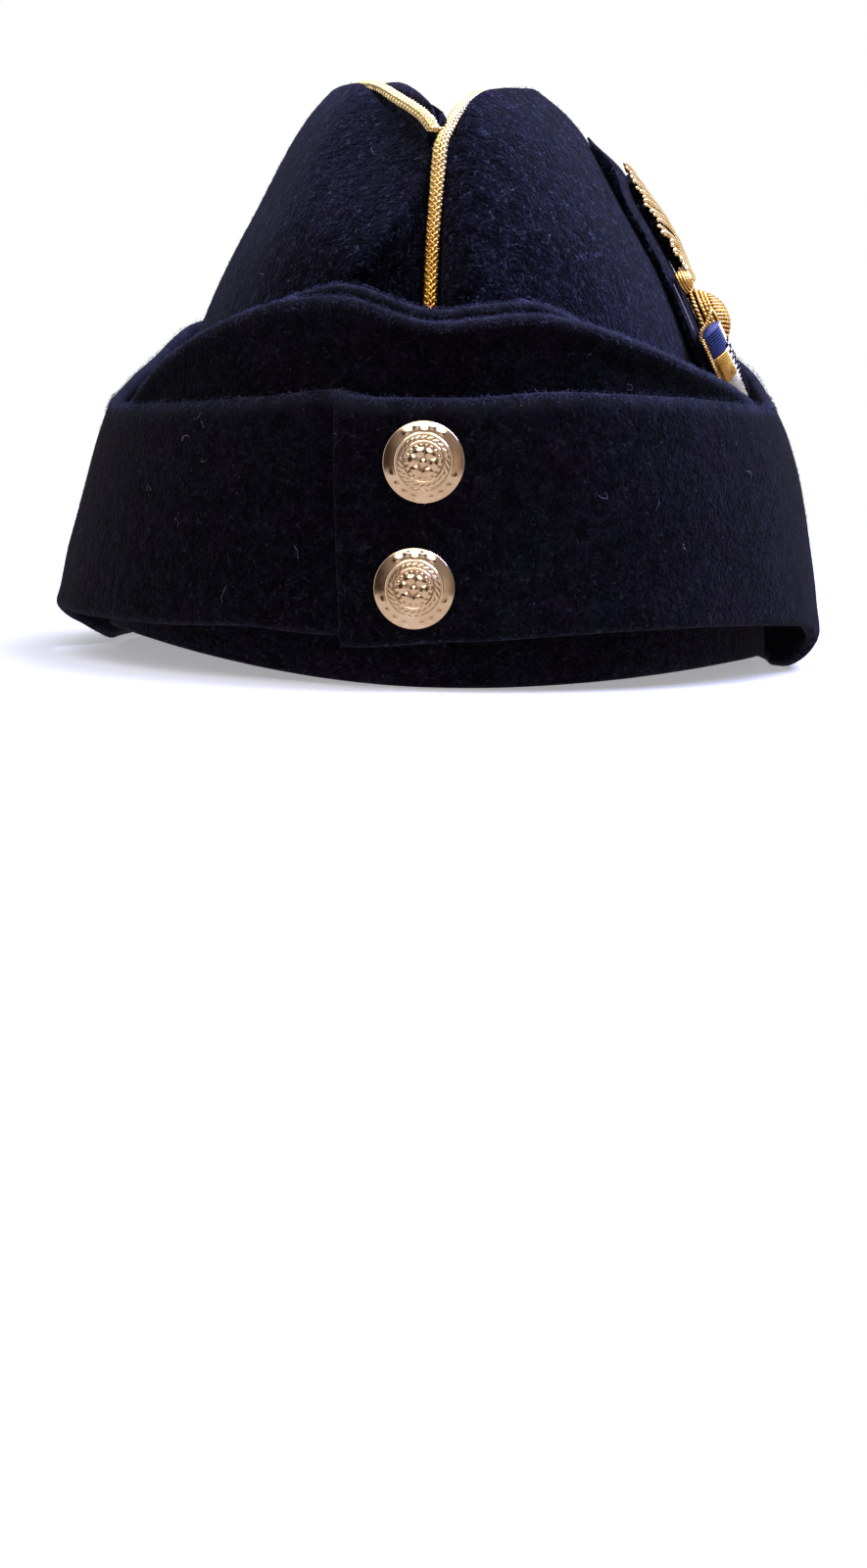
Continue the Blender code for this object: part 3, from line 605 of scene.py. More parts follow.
def drawn_in(grid, depth):
    """The grid with its borders drawn in by depth, so that a rounded edge ends on the outline."""
    for axis, end in ALL_BORDERS:
        rim = np.take(grid, [end], axis=axis)
        inner = np.take(grid, [1 if end == 0 else -2], axis=axis)
        pull = depth * np.exp(-lengths(grid, axis, end) / (3 * depth))
        grid = grid + unit(inner - rim) * pull[..., None]
    return grid


def tucked(grid, borders):
    """The grid with the named borders rolled inwards, as cloth does at a seam under its piping."""
    depth = np.zeros(grid.shape[:2])
    for axis, end in borders:
        depth = np.maximum(depth, 1 - smooth(lengths(grid, axis, end) / TUCK_REACH))
    return grid - facing_out(grid) * (TUCK_DEPTH * depth)[..., None]


def ripples(points, size, seed):
    """Smooth noise for each point, with features of about this size."""
    shift = Vector((seed * 7.3, seed * 3.1, seed * 5.7))
    values = [noise.noise(Vector(p) / size + shift) for p in points.reshape(-1, 3)]
    return np.array(values).reshape(points.shape[:-1])


def in_scene(name, data):
    """New object of this data, in the scene."""
    made = bpy.data.objects.new(name, data)
    bpy.context.scene.collection.objects.link(made)
    return made


def add(name, points, faces, surface, slot, nodes=(), tidy=False):
    """New piece of the cap, in the frame; nodes are the solids that it stands for."""
    data = bpy.data.meshes.new(name)
    data.from_pydata(np.asarray(points).reshape(-1, 3).tolist(), [], [list(f) for f in faces])
    if tidy:
        shape = bmesh.new()
        shape.from_mesh(data)
        bmesh.ops.recalc_face_normals(shape, faces=shape.faces)
        shape.to_mesh(data)
        shape.free()
    data.shade_smooth()
    data.materials.append(surface)
    made = in_scene(name, data)
    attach(made, "root")
    if nodes:
        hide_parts(*nodes)
    return made


def cloth(name, grid, wall, surface, nodes=(), wave=WAVE, seed=0.0, edge_highlight=0.0):
    """Closed piece of cloth from its outer face: rippled, with rounded edges and a painted highlight along
    its top edge.
    """
    swell = ripples(grid, WAVE_LONG, seed) + SHORT_SHARE * ripples(grid, WAVE_SHORT, seed + 1)
    grid = drawn_in(grid + facing_out(grid) * (wave * swell)[..., None], wall / 2)
    out = facing_out(grid)
    rows, columns = grid.shape[:2]
    loop = [(i, 0) for i in range(rows)] + [(rows - 1, j) for j in range(1, columns)]
    loop += [(i, columns - 1) for i in range(rows - 2, -1, -1)] + [(0, j) for j in range(columns - 2, 0, -1)]
    away = np.zeros_like(grid)
    away[0] += unit(grid[0] - grid[1])
    away[-1] += unit(grid[-1] - grid[-2])
    away[:, 0] += unit(grid[:, 0] - grid[:, 1])
    away[:, -1] += unit(grid[:, -1] - grid[:, -2])
    at = tuple(np.array(loop).T)
    border, up, side = grid[at], out[at], away[at]
    side = unit(side - up * np.sum(side * up, axis=1, keepdims=True))
    angles = math.pi * np.arange(1, EDGE_RINGS + 1) / (EDGE_RINGS + 1)
    rings = [border - up * wall / 2 + (up * math.cos(a) + side * math.sin(a)) * wall / 2 for a in angles]
    size = rows * columns
    points = np.concatenate([grid.reshape(-1, 3), (grid - out * wall).reshape(-1, 3), *rings])
    points[:, 2] = np.maximum(points[:, 2], 0)
    face = cells(rows, columns)
    rim = np.array([i * columns + j for i, j in loop])
    chain = [2 * size + k * len(loop) + np.arange(len(loop)) for k in range(EDGE_RINGS)]
    chain = [rim, *chain, size + rim]
    strips = [np.stack([a, np.roll(a, -1), np.roll(b, -1), b], axis=1) for a, b in zip(chain[:-1], chain[1:])]
    faces = np.concatenate([face, face[:, ::-1] + size, *strips])
    made = add(name, points, faces.tolist(), surface, "navy_wool", nodes, tidy=True)
    # Painted highlight: strongest at the top edge, fading downwards in uneven patches
    near = edge_highlight * np.exp(-(lengths(grid, 1, -1) / EDGE_HIGHLIGHT_REACH)**2)
    near *= 0.75 + 0.5 * ripples(grid, EDGE_HIGHLIGHT_PATCHES, seed + 2)
    values = np.concatenate([near.ravel(), near.ravel(), *[near[at]] * EDGE_RINGS])
    made.data.attributes.new("edge_highlight", "FLOAT", "POINT").data.foreach_set("value", values)


def frames(path, up):
    """Sideways and upward unit vectors along a path, from a rough upward direction."""
    ahead = unit(np.gradient(path, axis=0))
    side = unit(np.cross(ahead, up))
    return side, np.cross(side, ahead)


def turned(first, second, turns):
    """Directions at these turns from a first direction towards a second one."""
    return first * np.cos(turns)[:, None] + second * np.sin(turns)[:, None]


def tube(path, radius, up, sides):
    """Points and faces of a closed round tube; its radius may vary along it."""
    side, over = frames(path, up)
    ring = turned(side[:, None], over[:, None], 2 * np.pi * np.arange(sides) / sides)
    points = path[:, None] + ring * np.reshape(radius, (-1, 1, 1))
    points = np.concatenate([points.reshape(-1, 3), path[[0, -1]]])
    last = len(path) * sides
    turn = np.arange(sides)
    following = (turn + 1) % sides
    caps = [(last, int(b), int(a)) for a, b in zip(turn, following)]
    caps += [(last + 1, int(a), int(b)) for a, b in zip(turn + last - sides, following + last - sides)]
    return points, cells(len(path), sides, True).tolist() + caps


def evenly(path, step):
    """The path with points at about this even step, and their distances along it."""
    run = np.insert(np.cumsum(np.linalg.norm(np.diff(path, axis=0), axis=1)), 0, 0)
    marks = np.linspace(0, run[-1], max(int(run[-1] / step), 2) + 1)
    return np.stack([np.interp(marks, run, path[:, k]) for k in range(3)], axis=1), marks


class Bundle:
    """Many small closed shapes gathered into one piece."""

    def __init__(self):
        self.points = []
        self.faces = []
        self.count = 0

    def take(self, points, faces):
        """Adds one shape."""
        self.points.append(points)
        self.faces += [[i + self.count for i in face] for face in faces]
        self.count += len(points)

    def piece(self, name, surface, slot, nodes=()):
        """Makes the piece that the shapes form together."""
        add(name, np.concatenate(self.points), self.faces, surface, slot, nodes)


def feed(tree, node, **sockets):
    """Sets a node's sockets, named with _ for a space: to values, or linked to outputs of other nodes."""
    for name, value in sockets.items():
        socket = node.inputs[name.replace("_", " ")]
        if isinstance(value, bpy.types.NodeSocket):
            tree.links.new(value, socket)
        else:
            socket.default_value = (*value, 1) if socket.type == "RGBA" else value
    return node


def new_node(tree, kind, **sockets):
    """New shader node of this kind, with its sockets fed."""
    return feed(tree, tree.nodes.new("ShaderNode" + kind), **sockets)


def grown(tree, value, start, end, kind="LINEAR"):
    """Share that grows from 0 to 1 as a value goes from start to end."""
    node = new_node(tree, "MapRange", Value=value, From_Min=start, From_Max=end)
    node.interpolation_type = kind
    return node.outputs["Result"]


def mixed(tree, kind, share, first, second):
    """Two colours mixed; the share and the colours are values or outputs."""
    node = new_node(tree, "Mix")
    node.data_type = "RGBA"
    node.blend_type = kind
    feed(tree, node, Factor=share)
    for socket, value in zip([s for s in node.inputs if s.type == "RGBA"], (first, second)):
        if isinstance(value, tuple):
            socket.default_value = (*value, 1)
        else:
            tree.links.new(value, socket)
    return next(s for s in node.outputs if s.type == "RGBA")


class Surface:
    """Node material, with short calls for the nodes that the finishes share."""

    def __init__(self, name, **sockets):
        self.made = bpy.data.materials.new(name)
        self.made.use_nodes = True
        self.tree = self.made.node_tree
        self.place = new_node(self.tree, "TexCoord").outputs["Object"]
        self.to(**sockets)

    def to(self, **sockets):
        """Feeds the shader's sockets."""
        feed(self.tree, self.tree.nodes["Principled BSDF"], **sockets)

    def noise(self, scale, detail=2.0, shift=(0, 0, 0)):
        """Noise in the frame's metres, moved by a shift."""
        place = new_node(self.tree, "Mapping", Vector=self.place, Location=shift).outputs["Vector"]
        return new_node(self.tree, "TexNoise", Vector=place, Scale=scale, Detail=detail).outputs["Fac"]

    def ramp(self, factor, *stops):
        """Colours or greys at positions along a factor."""
        node = new_node(self.tree, "ValToRGB", Fac=factor)
        elements = node.color_ramp.elements
        while len(elements) < len(stops):
            elements.new(0.5)
        for element, (position, colour) in zip(elements, stops):
            element.position = position
            element.color = (*colour, 1) if isinstance(colour, tuple) else (colour, colour, colour, 1)
        return node.outputs["Color"]

    def mixed(self, kind, share, first, second):
        """Two colours mixed."""
        return mixed(self.tree, kind, share, first, second)

    def bump(self, height, distance, strength, **below):
        """Bump from a height, over another one if given as Normal."""
        node = new_node(self.tree, "Bump", Height=height, Distance=distance, Strength=strength, **below)
        self.to(Normal=node.outputs["Normal"])
        return node.outputs["Normal"]


def wool(name, dark, light, fleck, sheen, tint=(0.58, 0.62, 0.92), clumps=(0.34, 1.62)):
    """Felted wool: mottled colour, clumps, curled flecks of paler fibre and a soft bluish sheen."""
    surface = Surface(name, Roughness=0.95, Specular_IOR_Level=0.03)
    surface.to(Sheen_Weight=sheen, Sheen_Roughness=0.38, Sheen_Tint=tint)
    speck = surface.noise(1200, 4)
    clump = surface.noise(330, 3, (0.3, 0.1, 0.7))
    body = surface.ramp(speck, (0.38, dark), (0.64, light))
    for shade in (
        surface.ramp(clump, (0.36, clumps[0]), (0.64, clumps[1])),
        surface.ramp(surface.noise(55, 2, (0.9, 0.4, 0.2)), (0.35, 0.80), (0.66, 1.22)),
        surface.ramp(surface.noise(75, 2), (0.35, (1.10, 0.88, 1.06)), (0.65, (0.86, 1.02, 1.0))),
    ):
        body = surface.mixed("MULTIPLY", 1.0, body, shade)
    for x, y, z in ((0.13, 0.57, 0.31), (0.71, 0.23, 0.47)):
        curl = surface.ramp(surface.noise(560, 1, (x, y, z)), (0.474, 0.0), (0.500, 1.0), (0.526, 0.0))
        shown = surface.ramp(surface.noise(640, 1, (y, z, x)), (0.55, 0.0), (0.62, 1.0))
        body = surface.mixed("MIX", surface.mixed("MULTIPLY", 1.0, curl, shown), body, fleck)
    # Painted highlight: the colour turns pale where the cloth's edge highlight share is high
    edge_highlight = new_node(surface.tree, "Attribute")
    edge_highlight.attribute_name = "edge_highlight"
    pale = tuple(2.2 * value for value in fleck)
    surface.to(Base_Color=surface.mixed("MIX", edge_highlight.outputs["Fac"], body, pale))
    surface.bump(clump, 0.0011, 0.55, Normal=surface.bump(speck, 0.0007, 0.9))
    return surface.made


def metal(name, light, deep, roughness, grain, distance, painted_highlight_tone=None):
    """Metal thread or sheet: two tones, uneven gloss, a fine grain, and a paler tone higher up if given,
    which is a painted highlight.
    """
    surface = Surface(name, Metallic=1.0)
    colour = surface.ramp(surface.noise(260, 3), (0.32, deep), (0.66, light))
    if painted_highlight_tone:
        # Painted highlight: the colour turns towards the given paler tone with height
        height = new_node(surface.tree, "SeparateXYZ", Vector=surface.place).outputs["Z"]
        colour = surface.mixed("MIX", grown(surface.tree, height, PALE_FROM, PALE_TO), colour, painted_highlight_tone)
    gloss = surface.ramp(surface.noise(900, 2), (0.3, roughness * 0.8), (0.7, roughness * 1.3))
    surface.to(Base_Color=colour, Roughness=gloss)
    surface.bump(surface.noise(grain, 2), distance, 0.5)
    return surface.made


def silk(name, light, deep):
    """Silk thread: two tones with a soft gloss."""
    surface = Surface(name, Roughness=0.5, Specular_IOR_Level=0.25)
    surface.to(Base_Color=surface.ramp(surface.noise(420, 3), (0.32, deep), (0.68, light)))
    surface.bump(surface.noise(3200, 2), 0.0001, 0.4)
    return surface.made


# The cloth is one wool in two copies. The band's copy, for the peak and curtain, is darker, less blue and has
# dimmer flecks: painted shade, as the band faces away from the light; its clumps are also smoother. The naps
# follow the same split.
navy = wool("navy_wool", (0.0022, 0.0019, 0.0038), (0.0096, 0.0090, 0.0182), (0.066, 0.070, 0.122), 0.13)
navy_band_shaded = wool(
    "navy_wool_smooth_shaded", (0.0028, 0.0026, 0.0042), (0.0080, 0.0076, 0.0126), (0.024, 0.025, 0.038), 0.04,
    (0.72, 0.72, 0.80), (0.58, 1.34),
)
fuzz = wool("navy_nap", (0.021, 0.022, 0.042), (0.062, 0.066, 0.125), (0.12, 0.13, 0.19), 0.10)
band_fuzz_shaded = wool("navy_nap_smooth_shaded", (0.008, 0.008, 0.014), (0.021, 0.021, 0.037), (0.06, 0.065, 0.09), 0.04)
# Nap for the top edges, paler than the other naps: a painted highlight where light catches the edge fuzz
highlight_fuzz = wool("edge_nap_highlight", (0.060, 0.062, 0.110), (0.145, 0.155, 0.260), (0.16, 0.17, 0.25), 0.10)
lint = wool("pale_lint", (0.16, 0.17, 0.22), (0.34, 0.36, 0.42), (0.42, 0.44, 0.50), 0.10)
# The braid's last colour is its painted highlight at the top
braid = metal("gilt_braid", (1.0, 0.63, 0.15), (0.66, 0.30, 0.03), 0.26, 5200, 0.0001, (1.0, 0.82, 0.44))
gilt = metal("button_gilt", (0.93, 0.75, 0.60), (0.83, 0.61, 0.45), 0.11, 1400, 0.00003)
purl = metal("gilt_purl", (1.0, 0.66, 0.22), (0.55, 0.27, 0.045), 0.25, 5200, 0.0001)
# Paler copy of the gilt purl, for the spray: a painted highlight on its lit edge
highlight_purl = metal("pale_gilt_purl_highlight", (1.0, 0.86, 0.58), (0.88, 0.62, 0.28), 0.22, 5200, 0.0001)
silver = metal("silver_purl", (0.86, 0.85, 0.84), (0.62, 0.61, 0.60), 0.28, 5200, 0.0001)
blue = silk("blue_silk", (0.030, 0.055, 0.235), (0.016, 0.030, 0.150))
pale = silk("pale_thread", (0.62, 0.60, 0.56), (0.42, 0.40, 0.38))


# Crown
full = 2 * math.pi
stations = [s - STATION_BUNCH * math.sin(full * s) / full for s in steps(0, 1, CROWN_STEPS[0])]
levels = [mix(LOWEST_LEVEL, 1, 1 - (1 - s)**LEVEL_BUNCH) for s in steps(0, 1, CROWN_STEPS[1])]
# Cloth with a nap. Columns: name, grid, numbers of fibres, their surface
worn = []
for side, name in ((1, "crown_left"), (-1, "crown_right")):
    grid = tucked(grid_of(partial(crown_point, side), stations, levels), ((0, 0), (0, -1), (1, -1)))
    cloth(f"{name}_cloth", grid, CROWN_WALL, navy, (name,), seed=side)
    worn.append((name, grid, CROWN_FIBRES, fuzz))
grid = grid_of(open_top, steps(*TOP_REACH, TOP_STEPS[0]), steps(0, 1, TOP_STEPS[1]))
grid = tucked(grid, ALL_BORDERS)
cloth("crown_top_cloth", grid, CROWN_WALL, navy, ("crown_top",), TOP_WAVE, 3)
worn.append(("crown_top", grid, TOP_FIBRES, fuzz))


def peak_fold(inner, turn, share):
    """Outer face of one layer of the peak, from its top edge down and round under the rim."""
    top = peak_point(turn, 1).z
    point = peak_point(turn, share)
    if inner:
        point = peak_point(turn, share * (1 + PEAK_STEP * within(turn, *PEAK_STEP_SPAN) / top))
        point -= outward(turn) * (PEAK_FOLD + 0.0001)
    below_edge = (1 - share) * top / PEAK_BEAD_REACH
    return point + outward(turn) * PEAK_BEAD * math.sin(math.pi * min(below_edge, 1)**PEAK_BEAD_BEND)


# Layers of the peak. Columns: name, name of its nap, lowest share, steps up it, nodes, numbers of fibres
LAYERS = (
    ("peak_outer", "peak", 0, 38, ("front_peak",), PEAK_FIBRES),
    ("peak_inner", "peak_lining", 0.03, 26, (), LINING_FIBRES),
)
turns = steps(-PEAK_END, PEAK_END, PEAK_STEPS)
for name, nap_name, low, count, nodes, fibres in LAYERS:
    rows = [mix(low, 1, 1 - (1 - s)**PEAK_BUNCH) for s in steps(0, 1, count)]
    grid = grid_of(partial(peak_fold, name == "peak_inner"), turns, rows)
    cloth(name, grid, PEAK_FOLD, navy_band_shaded, nodes, BAND_WAVE, 5, PEAK_EDGE_HIGHLIGHT)
    worn.append((nap_name, grid, fibres, band_fuzz_shaded))

# Curtain
for side, name in ((1, "curtain_left"), (-1, "curtain_right")):
    turns = steps(CURTAINS[side].keys[0], CURTAINS[side].keys[-1], CURTAIN_STEPS[0])
    grid = grid_of(partial(curtain_point, side), turns, steps(0, 1, CURTAIN_STEPS[1]))
    cloth(f"{name}_cloth", grid, CURTAIN_WALL, navy_band_shaded, (name,), seed=side + 8, edge_highlight=CURTAIN_EDGE_HIGHLIGHT)
    worn.append((name, grid, CURTAIN_FIBRES, band_fuzz_shaded))


def braided(name, path, up, node):
    """Braided cord: strands wound both ways over a core, each passing over and under the others."""
    path, marks = evenly(path, BRAID_STEP)
    side, over = frames(path, up)
    bundle = Bundle()
    bundle.take(*tube(path, BRAID_CORE, up, 8))
    weave = BRAID_WEAVE * np.cos(2 * math.pi * BRAID_STRANDS * marks / BRAID_PITCH)
    for way in (1, -1):
        for k in range(BRAID_STRANDS):
            around = turned(side, over, 2 * math.pi * (way * marks / BRAID_PITCH + k / BRAID_STRANDS))
            far = BRAID_RADIUS + way * weave
            bundle.take(*tube(path + around * far[:, None], STRAND_RADIUS, around, 4))
    bundle.piece(name, braid, "gilt_braid", (node,))


def softened(path):
    """The path with its sharp bends rounded; its ends stay where they are."""
    path = evenly(path, BRAID_STEP)[0]
    for _ in range(SOFTENINGS):
        path[1:-1] = 0.25 * path[:-2] + 0.5 * path[1:-1] + 0.25 * path[2:]
    return path


def seam_lines(proud):
    """Lines so far out from the seams: both seams with the wearer's left ridge, then the right ridge."""
    front, rise = Vector((0, -1, 0)), Vector((0, 0, 1))
    front_levels, rear_levels = steps(0.50, 1, SEAM_STEPS), steps(1, 0.50, SEAM_STEPS)
    front_seam = [crown_point(1, 0, t) + front.slerp(rise, t * 0.5) * proud for t in front_levels]
    rear_seam = [crown_point(1, 1, t) + (-front).slerp(rise, t * 0.5) * proud for t in rear_levels]
    ridge = [ridge_point(1, s) + rise * proud for s in steps(0, 1, RIDGE_STEPS)]
    other = [ridge_point(-1, s) + rise * proud for s in steps(SHORT_START * 0.5, SHORT_END, RIDGE_STEPS)]
    lines = (front_seam + ridge[1:-1] + rear_seam, other)
    first, second = (np.array([tuple(point) for point in line]) + SHIFT for line in lines)
    return softened(first), second


across = np.array((1.0, 0, 0))
for name, line in zip(("long", "short"), seam_lines(PIPING_PROUD)):
    braided(f"piping_{name}_braid", line, across, f"piping_{name}")
for name, line in zip(("long", "short"), seam_lines(-TAPE_DEPTH)):
    add(f"{name}_seam_tape", *tube(line, TAPE_RADIUS, across, 8), navy, "navy_wool")


def button(name, turn, height):
    """Domed gilt button: a smooth outer band, a beaded ring, a thin ring and a rosette in a wreath."""
    spot = curtain_point(1, turn, 0.5)
    centre = np.array((spot.x, spot.y - GAP, height * CURTAIN_HEIGHT)) + SHIFT
    rings, count = BUTTON_STEPS
    angles = 2 * np.pi * np.arange(count) / count
    r, a = np.meshgrid(np.linspace(0, 1, rings + 1)[1:], angles, indexing="ij")

    def mound(middle, width, high):
        """Rounded ring of relief at this radius."""
        return high * np.exp(-((r - middle) / width)**2)

    # Dome and rim, then the rings, the beads, the rosette of petals and the ring of dots round it
    level = 0.98 - 0.52 * r**2 - 0.30 * smooth((r - 0.955) / 0.06)
    level += mound(*OUTER_RING) + mound(*INNER_RING) - 0.035 * smooth((INNER_RING[0] - r) / 0.05)
    level += mound(*BEADS) * np.abs(np.cos(12 * a + 30 * (r - BEADS[0])))**1.2
    level += mound(*PETALS) * mix(0.10, 1, np.abs(np.cos(3 * a + 0.4))**0.8) + mound(*HEART)
    level += mound(*DOTS) * np.abs(np.cos(9 * a))**2
    for middle, turn_at, width, high in BUTTON_LEAVES:
        off = (np.degrees(a) - turn_at + 180) % 360 - 180
        level += mound(middle, LEAF_WIDTH, high) * np.exp(-(np.radians(off) / width)**2)

    def ring(share, a, level):
        """Points at this share of the radius, raised by a share of the depth."""
        wide = share * BUTTON_RADIUS
        places = wide * np.cos(a), -level * BUTTON_DEPTH, wide * np.sin(a)
        return np.stack(np.broadcast_arrays(*places), axis=-1)

    rows = [[[0, -1.20 * BUTTON_DEPTH, 0]], ring(r * 0.97, a, level).reshape(-1, 3)]
    rows += [ring(share, angles, depth) for share, depth in BUTTON_BACK]
    points = np.concatenate([*rows, [[0, 0, 0]]]) + centre
    faces = capped(rings + len(BUTTON_BACK), count)
    add(f"{name}_gilt", points, faces, gilt, "button_gilt", (name,), tidy=True)


for spec in BUTTONS:
    button(*spec)


class Chart:
    """Points and normals over the badge's place on the left panel, read between the nodes of a grid."""

    def __init__(self):
        self.us = np.linspace(-0.36, 0.40, 47)
        self.ws = np.linspace(-CHART_DROP, 1.06, 76)
        rows = self.rows()
        spots = np.array([[self.spot(rows, u, w) for w in self.ws] for u in self.us])
        self.points, self.normals = spots[:, :, 0] + SHIFT, spots[:, :, 1]

    def rows(self, count=90, small=0.001):
        """Level and station length for each millimetre up the badge's middle line, from below its foot."""
        level = BADGE_LEVEL
        rows = []
        for i in range(count):
            here = crown_point(1, BADGE_STATION, level)
            back = (crown_point(1, BADGE_STATION + small, level) - here).length / small
            rows.append((i * 0.001, level, back))
            level += 0.001 / ((crown_point(1, BADGE_STATION, level + small) - here).length / small)
        return Table(("row", "level", "station_length"), *rows)

    def spot(self, rows, u, w, small=0.002):
        """Point and normal on the left panel, u back and w up from the badge's foot."""
        row = (w + CHART_DROP) * BADGE_SPAN
        level = rows.at(row, "level")
        station = BADGE_STATION + u * BADGE_SPAN / rows.at(row, "station_length")
        along = crown_point(1, station + small, level) - crown_point(1, station - small, level)
        up = crown_point(1, station, level + small) - crown_point(1, station, level - small)
        normal = along.cross(up).normalized()
        flare = BADGE_FLARE * ease((FLARE_START - w) / (FLARE_START + CHART_DROP))
        return tuple(crown_point(1, station, level) + normal * flare), tuple(normal)

    def at(self, u, w, lift):
        """Points at u back and w up in shares of the badge span, raised by lift in metres."""
        u, w, lift = np.broadcast_arrays(*(np.asarray(value, float) for value in (u, w, lift)))
        x = np.clip((u - self.us[0]) / (self.us[1] - self.us[0]), 0, len(self.us) - 1.001)
        y = np.clip((w - self.ws[0]) / (self.ws[1] - self.ws[0]), 0, len(self.ws) - 1.001)
        i, j = x.astype(int), y.astype(int)
        points, normals = (between(values, i, j, x - i, y - j) for values in (self.points, self.normals))
        return points + unit(normals) * lift[..., None]

    def up(self, u, w):
        """Direction out of the cloth in the middle of these places."""
        return self.at(np.mean(u), np.mean(w), 0.001) - self.at(np.mean(u), np.mean(w), 0.0)


chart = Chart()


def polar(centre, far, turn):
    """Chart place so far from a centre, at a turn in radians from up towards the rear."""
    return centre[0] + far * np.sin(turn), centre[1] + far * np.cos(turn)


def pad(name, centre, reach, lift, height, nodes, spokes, rings):
    """Closed padded form on the badge: reach gives its outline and height its top."""
    angles = 2 * np.pi * np.arange(spokes) / spokes
    far = np.array([reach(math.degrees(a)) for a in angles])
    share, angle = np.meshgrid(np.linspace(0, 1, rings + 1)[1:], angles, indexing="ij")
    u, w = polar(centre, far * share, angle)
    top = height(share, u, w)
    foot = [[value] for value in centre]
    points = np.concatenate([
        chart.at(*foot, lift + height(np.zeros(1), *centre)),
        chart.at(u, w, lift + top).reshape(-1, 3),
        chart.at(u[-1], w[-1], lift + top[-1] * 0.5),
        chart.at(u[-1], w[-1], lift),
        chart.at(*foot, lift),
    ])
    add(name, points, capped(rings + 2, spokes), navy, "navy_wool", nodes, tidy=True)


def purl_at(bundle, u, w, lift, radius, coil, step=0.00018, sides=7):
    """Coil of wound wire laid along a path in the chart: its radius swells at each turn of the wire."""
    path, marks = evenly(chart.at(u, w, lift), step)
    swell = radius * (1 - PURL_SWELL + PURL_SWELL * np.cos(2 * np.pi * marks / coil))
    swell *= np.sqrt(np.clip(np.minimum(marks, marks[-1] - marks) / radius + 0.12, 0.1, 1))
    bundle.take(*tube(path, swell, chart.up(u, w), sides))


def twist_at(bundle, u, w, lift, radius, pitch):
    """Twisted cord of two plies laid along a path in the chart."""
    path, marks = evenly(chart.at(u, w, lift), 0.00025)
    side, over = frames(path, chart.up(u, w))
    for k in range(2):
        around = turned(side, over, 2 * np.pi * (marks / pitch + k / 2))
        bundle.take(*tube(path + around * radius * 0.5, radius * 0.62, around, 6))


# Patch
def patch_edge(degrees):
    """Cut edge of the patch, a little uneven."""
    angle = math.radians(degrees)
    return PATCH_REACH.at(degrees, "reach") * (1 + 0.012 * math.sin(23 * angle) * math.sin(7 * angle))


def patch_height(share, u, w):
    """Thickness of the patch: rounded at its edge, raised above the spray's middle and thin at its top."""
    high = PATCH_WALL * (1 - 0.45 * share**6) + 0.0011 * smooth((w - 0.70) / 0.12)
    return high * (1 - 0.80 * smooth((w - 0.80) / 0.17))


pad("badge_patch_cloth", PATCH_CENTRE, patch_edge, CLEAR, patch_height, ("badge_patch",), 160, 24)

# Pale thread that has come loose along the front edge of the patch
turn = np.radians(np.linspace(236, 268, 40))
reach = np.array([PATCH_REACH.at(math.degrees(a), "reach") for a in turn]) + 0.004 * np.sin(7 * turn)
line = chart.at(*polar(PATCH_CENTRE, reach, turn), ON_PATCH - 0.0004)
add("patch_loose_thread", *tube(line, 0.00013, chart.up(-0.2, 0.3), 5), pale, "navy_wool")


def spray_reach(degrees):
    """Outline of the padding under the spray."""
    angle = math.radians(degrees)
    leaf = (1 - 0.12 * abs(math.sin(4.5 * angle))) * (0.74 + 0.38 * max(-math.cos(angle), 0)**2)
    return leaf * math.hypot(SPRAY_REACH[0] * math.sin(angle), SPRAY_REACH[1] * math.cos(angle))


def spray_height(u, w):
    """Height of the padding under the spray: a ridge up its middle that falls away to its edges and top."""
    aside = np.abs(u - SPRAY_CENTRE[0]) / SPRAY_REACH[0]
    up = (w - SPRAY_CENTRE[1]) / SPRAY_REACH[1]
    crest = SPRAY_CREST * (1 - 0.62 * smooth((up + 0.2) / 1.1)) * (1 - 0.30 * smooth((-up - 0.45) / 0.55))
    return 0.0004 + crest * (1 - np.clip(aside, 0, 1)**2)


def spray():
    """Plume of gold purl over a pad: barbs sweep up and out from a twisted rib, and bars gather its foot."""
    pad(
        "badge_spray_base", SPRAY_CENTRE, spray_reach, ON_PATCH,
        lambda share, u, w: spray_height(u, w) - 0.0001, (), 90, 12,
    )
    bundle = Bundle()
    (middle, centre), (half, tall) = SPRAY_CENTRE, SPRAY_REACH
    low, high = centre - tall, centre + tall
    w = np.linspace(low, high - 0.03, 60)
    twist_at(bundle, np.full(60, middle), w, ON_PATCH + spray_height(middle, w) + 0.0003, 0.0005, 0.0018)
    t = np.linspace(0, 1, 22)
    for k in range(SPRAY_BARBS):
        for hand in (-1, 1):
            end = mix(low + 0.012, high - 0.02, (k + 0.5 * (hand > 0)) / (SPRAY_BARBS - 1))
            end += chance.normal(0, 0.003)
            wide = half * math.sqrt(max(1 - ((end - centre) / (tall * 1.14))**2, 0.02))
            wide *= 0.93 + 0.07 * math.cos(k * 1.35) + chance.normal(0, 0.012)
            start = max(end - 0.40 * wide - 0.065, low - 0.01)
            u = middle + hand * wide * (t - 0.10 * smooth((t - 0.82) / 0.18))
            w = start + (end - start) * (t**0.85) - 0.022 * smooth((t - 0.80) / 0.20)
            lift = ON_PATCH + spray_height(u, w) + 0.0004 + 0.0005 * np.sin(np.pi * t) * (k % 2)
            purl_at(bundle, u, w, lift, *SPRAY_PURL)
    bar = np.linspace(-1, 1, 24)
    for k in range(3):
        w = low - 0.012 + 0.014 * k + 0.012 * bar**2
        lift = ON_PATCH + 0.0009 + (0.0009 + 0.0003 * k) * (1 - bar**2)
        purl_at(bundle, middle + (0.085 + 0.012 * k) * bar, w, lift, *COLLAR_PURL)
    bundle.piece("badge_spray_purl", highlight_purl, "gilt_purl", ("badge_spray",))


spray()


def boss_height(share, below=0.0006):
    """Height of the boss at this share of its radius, so far below its top."""
    return (BOSS_TOP - below) * (1 - BOSS_FALL * share**BOSS_BEND)


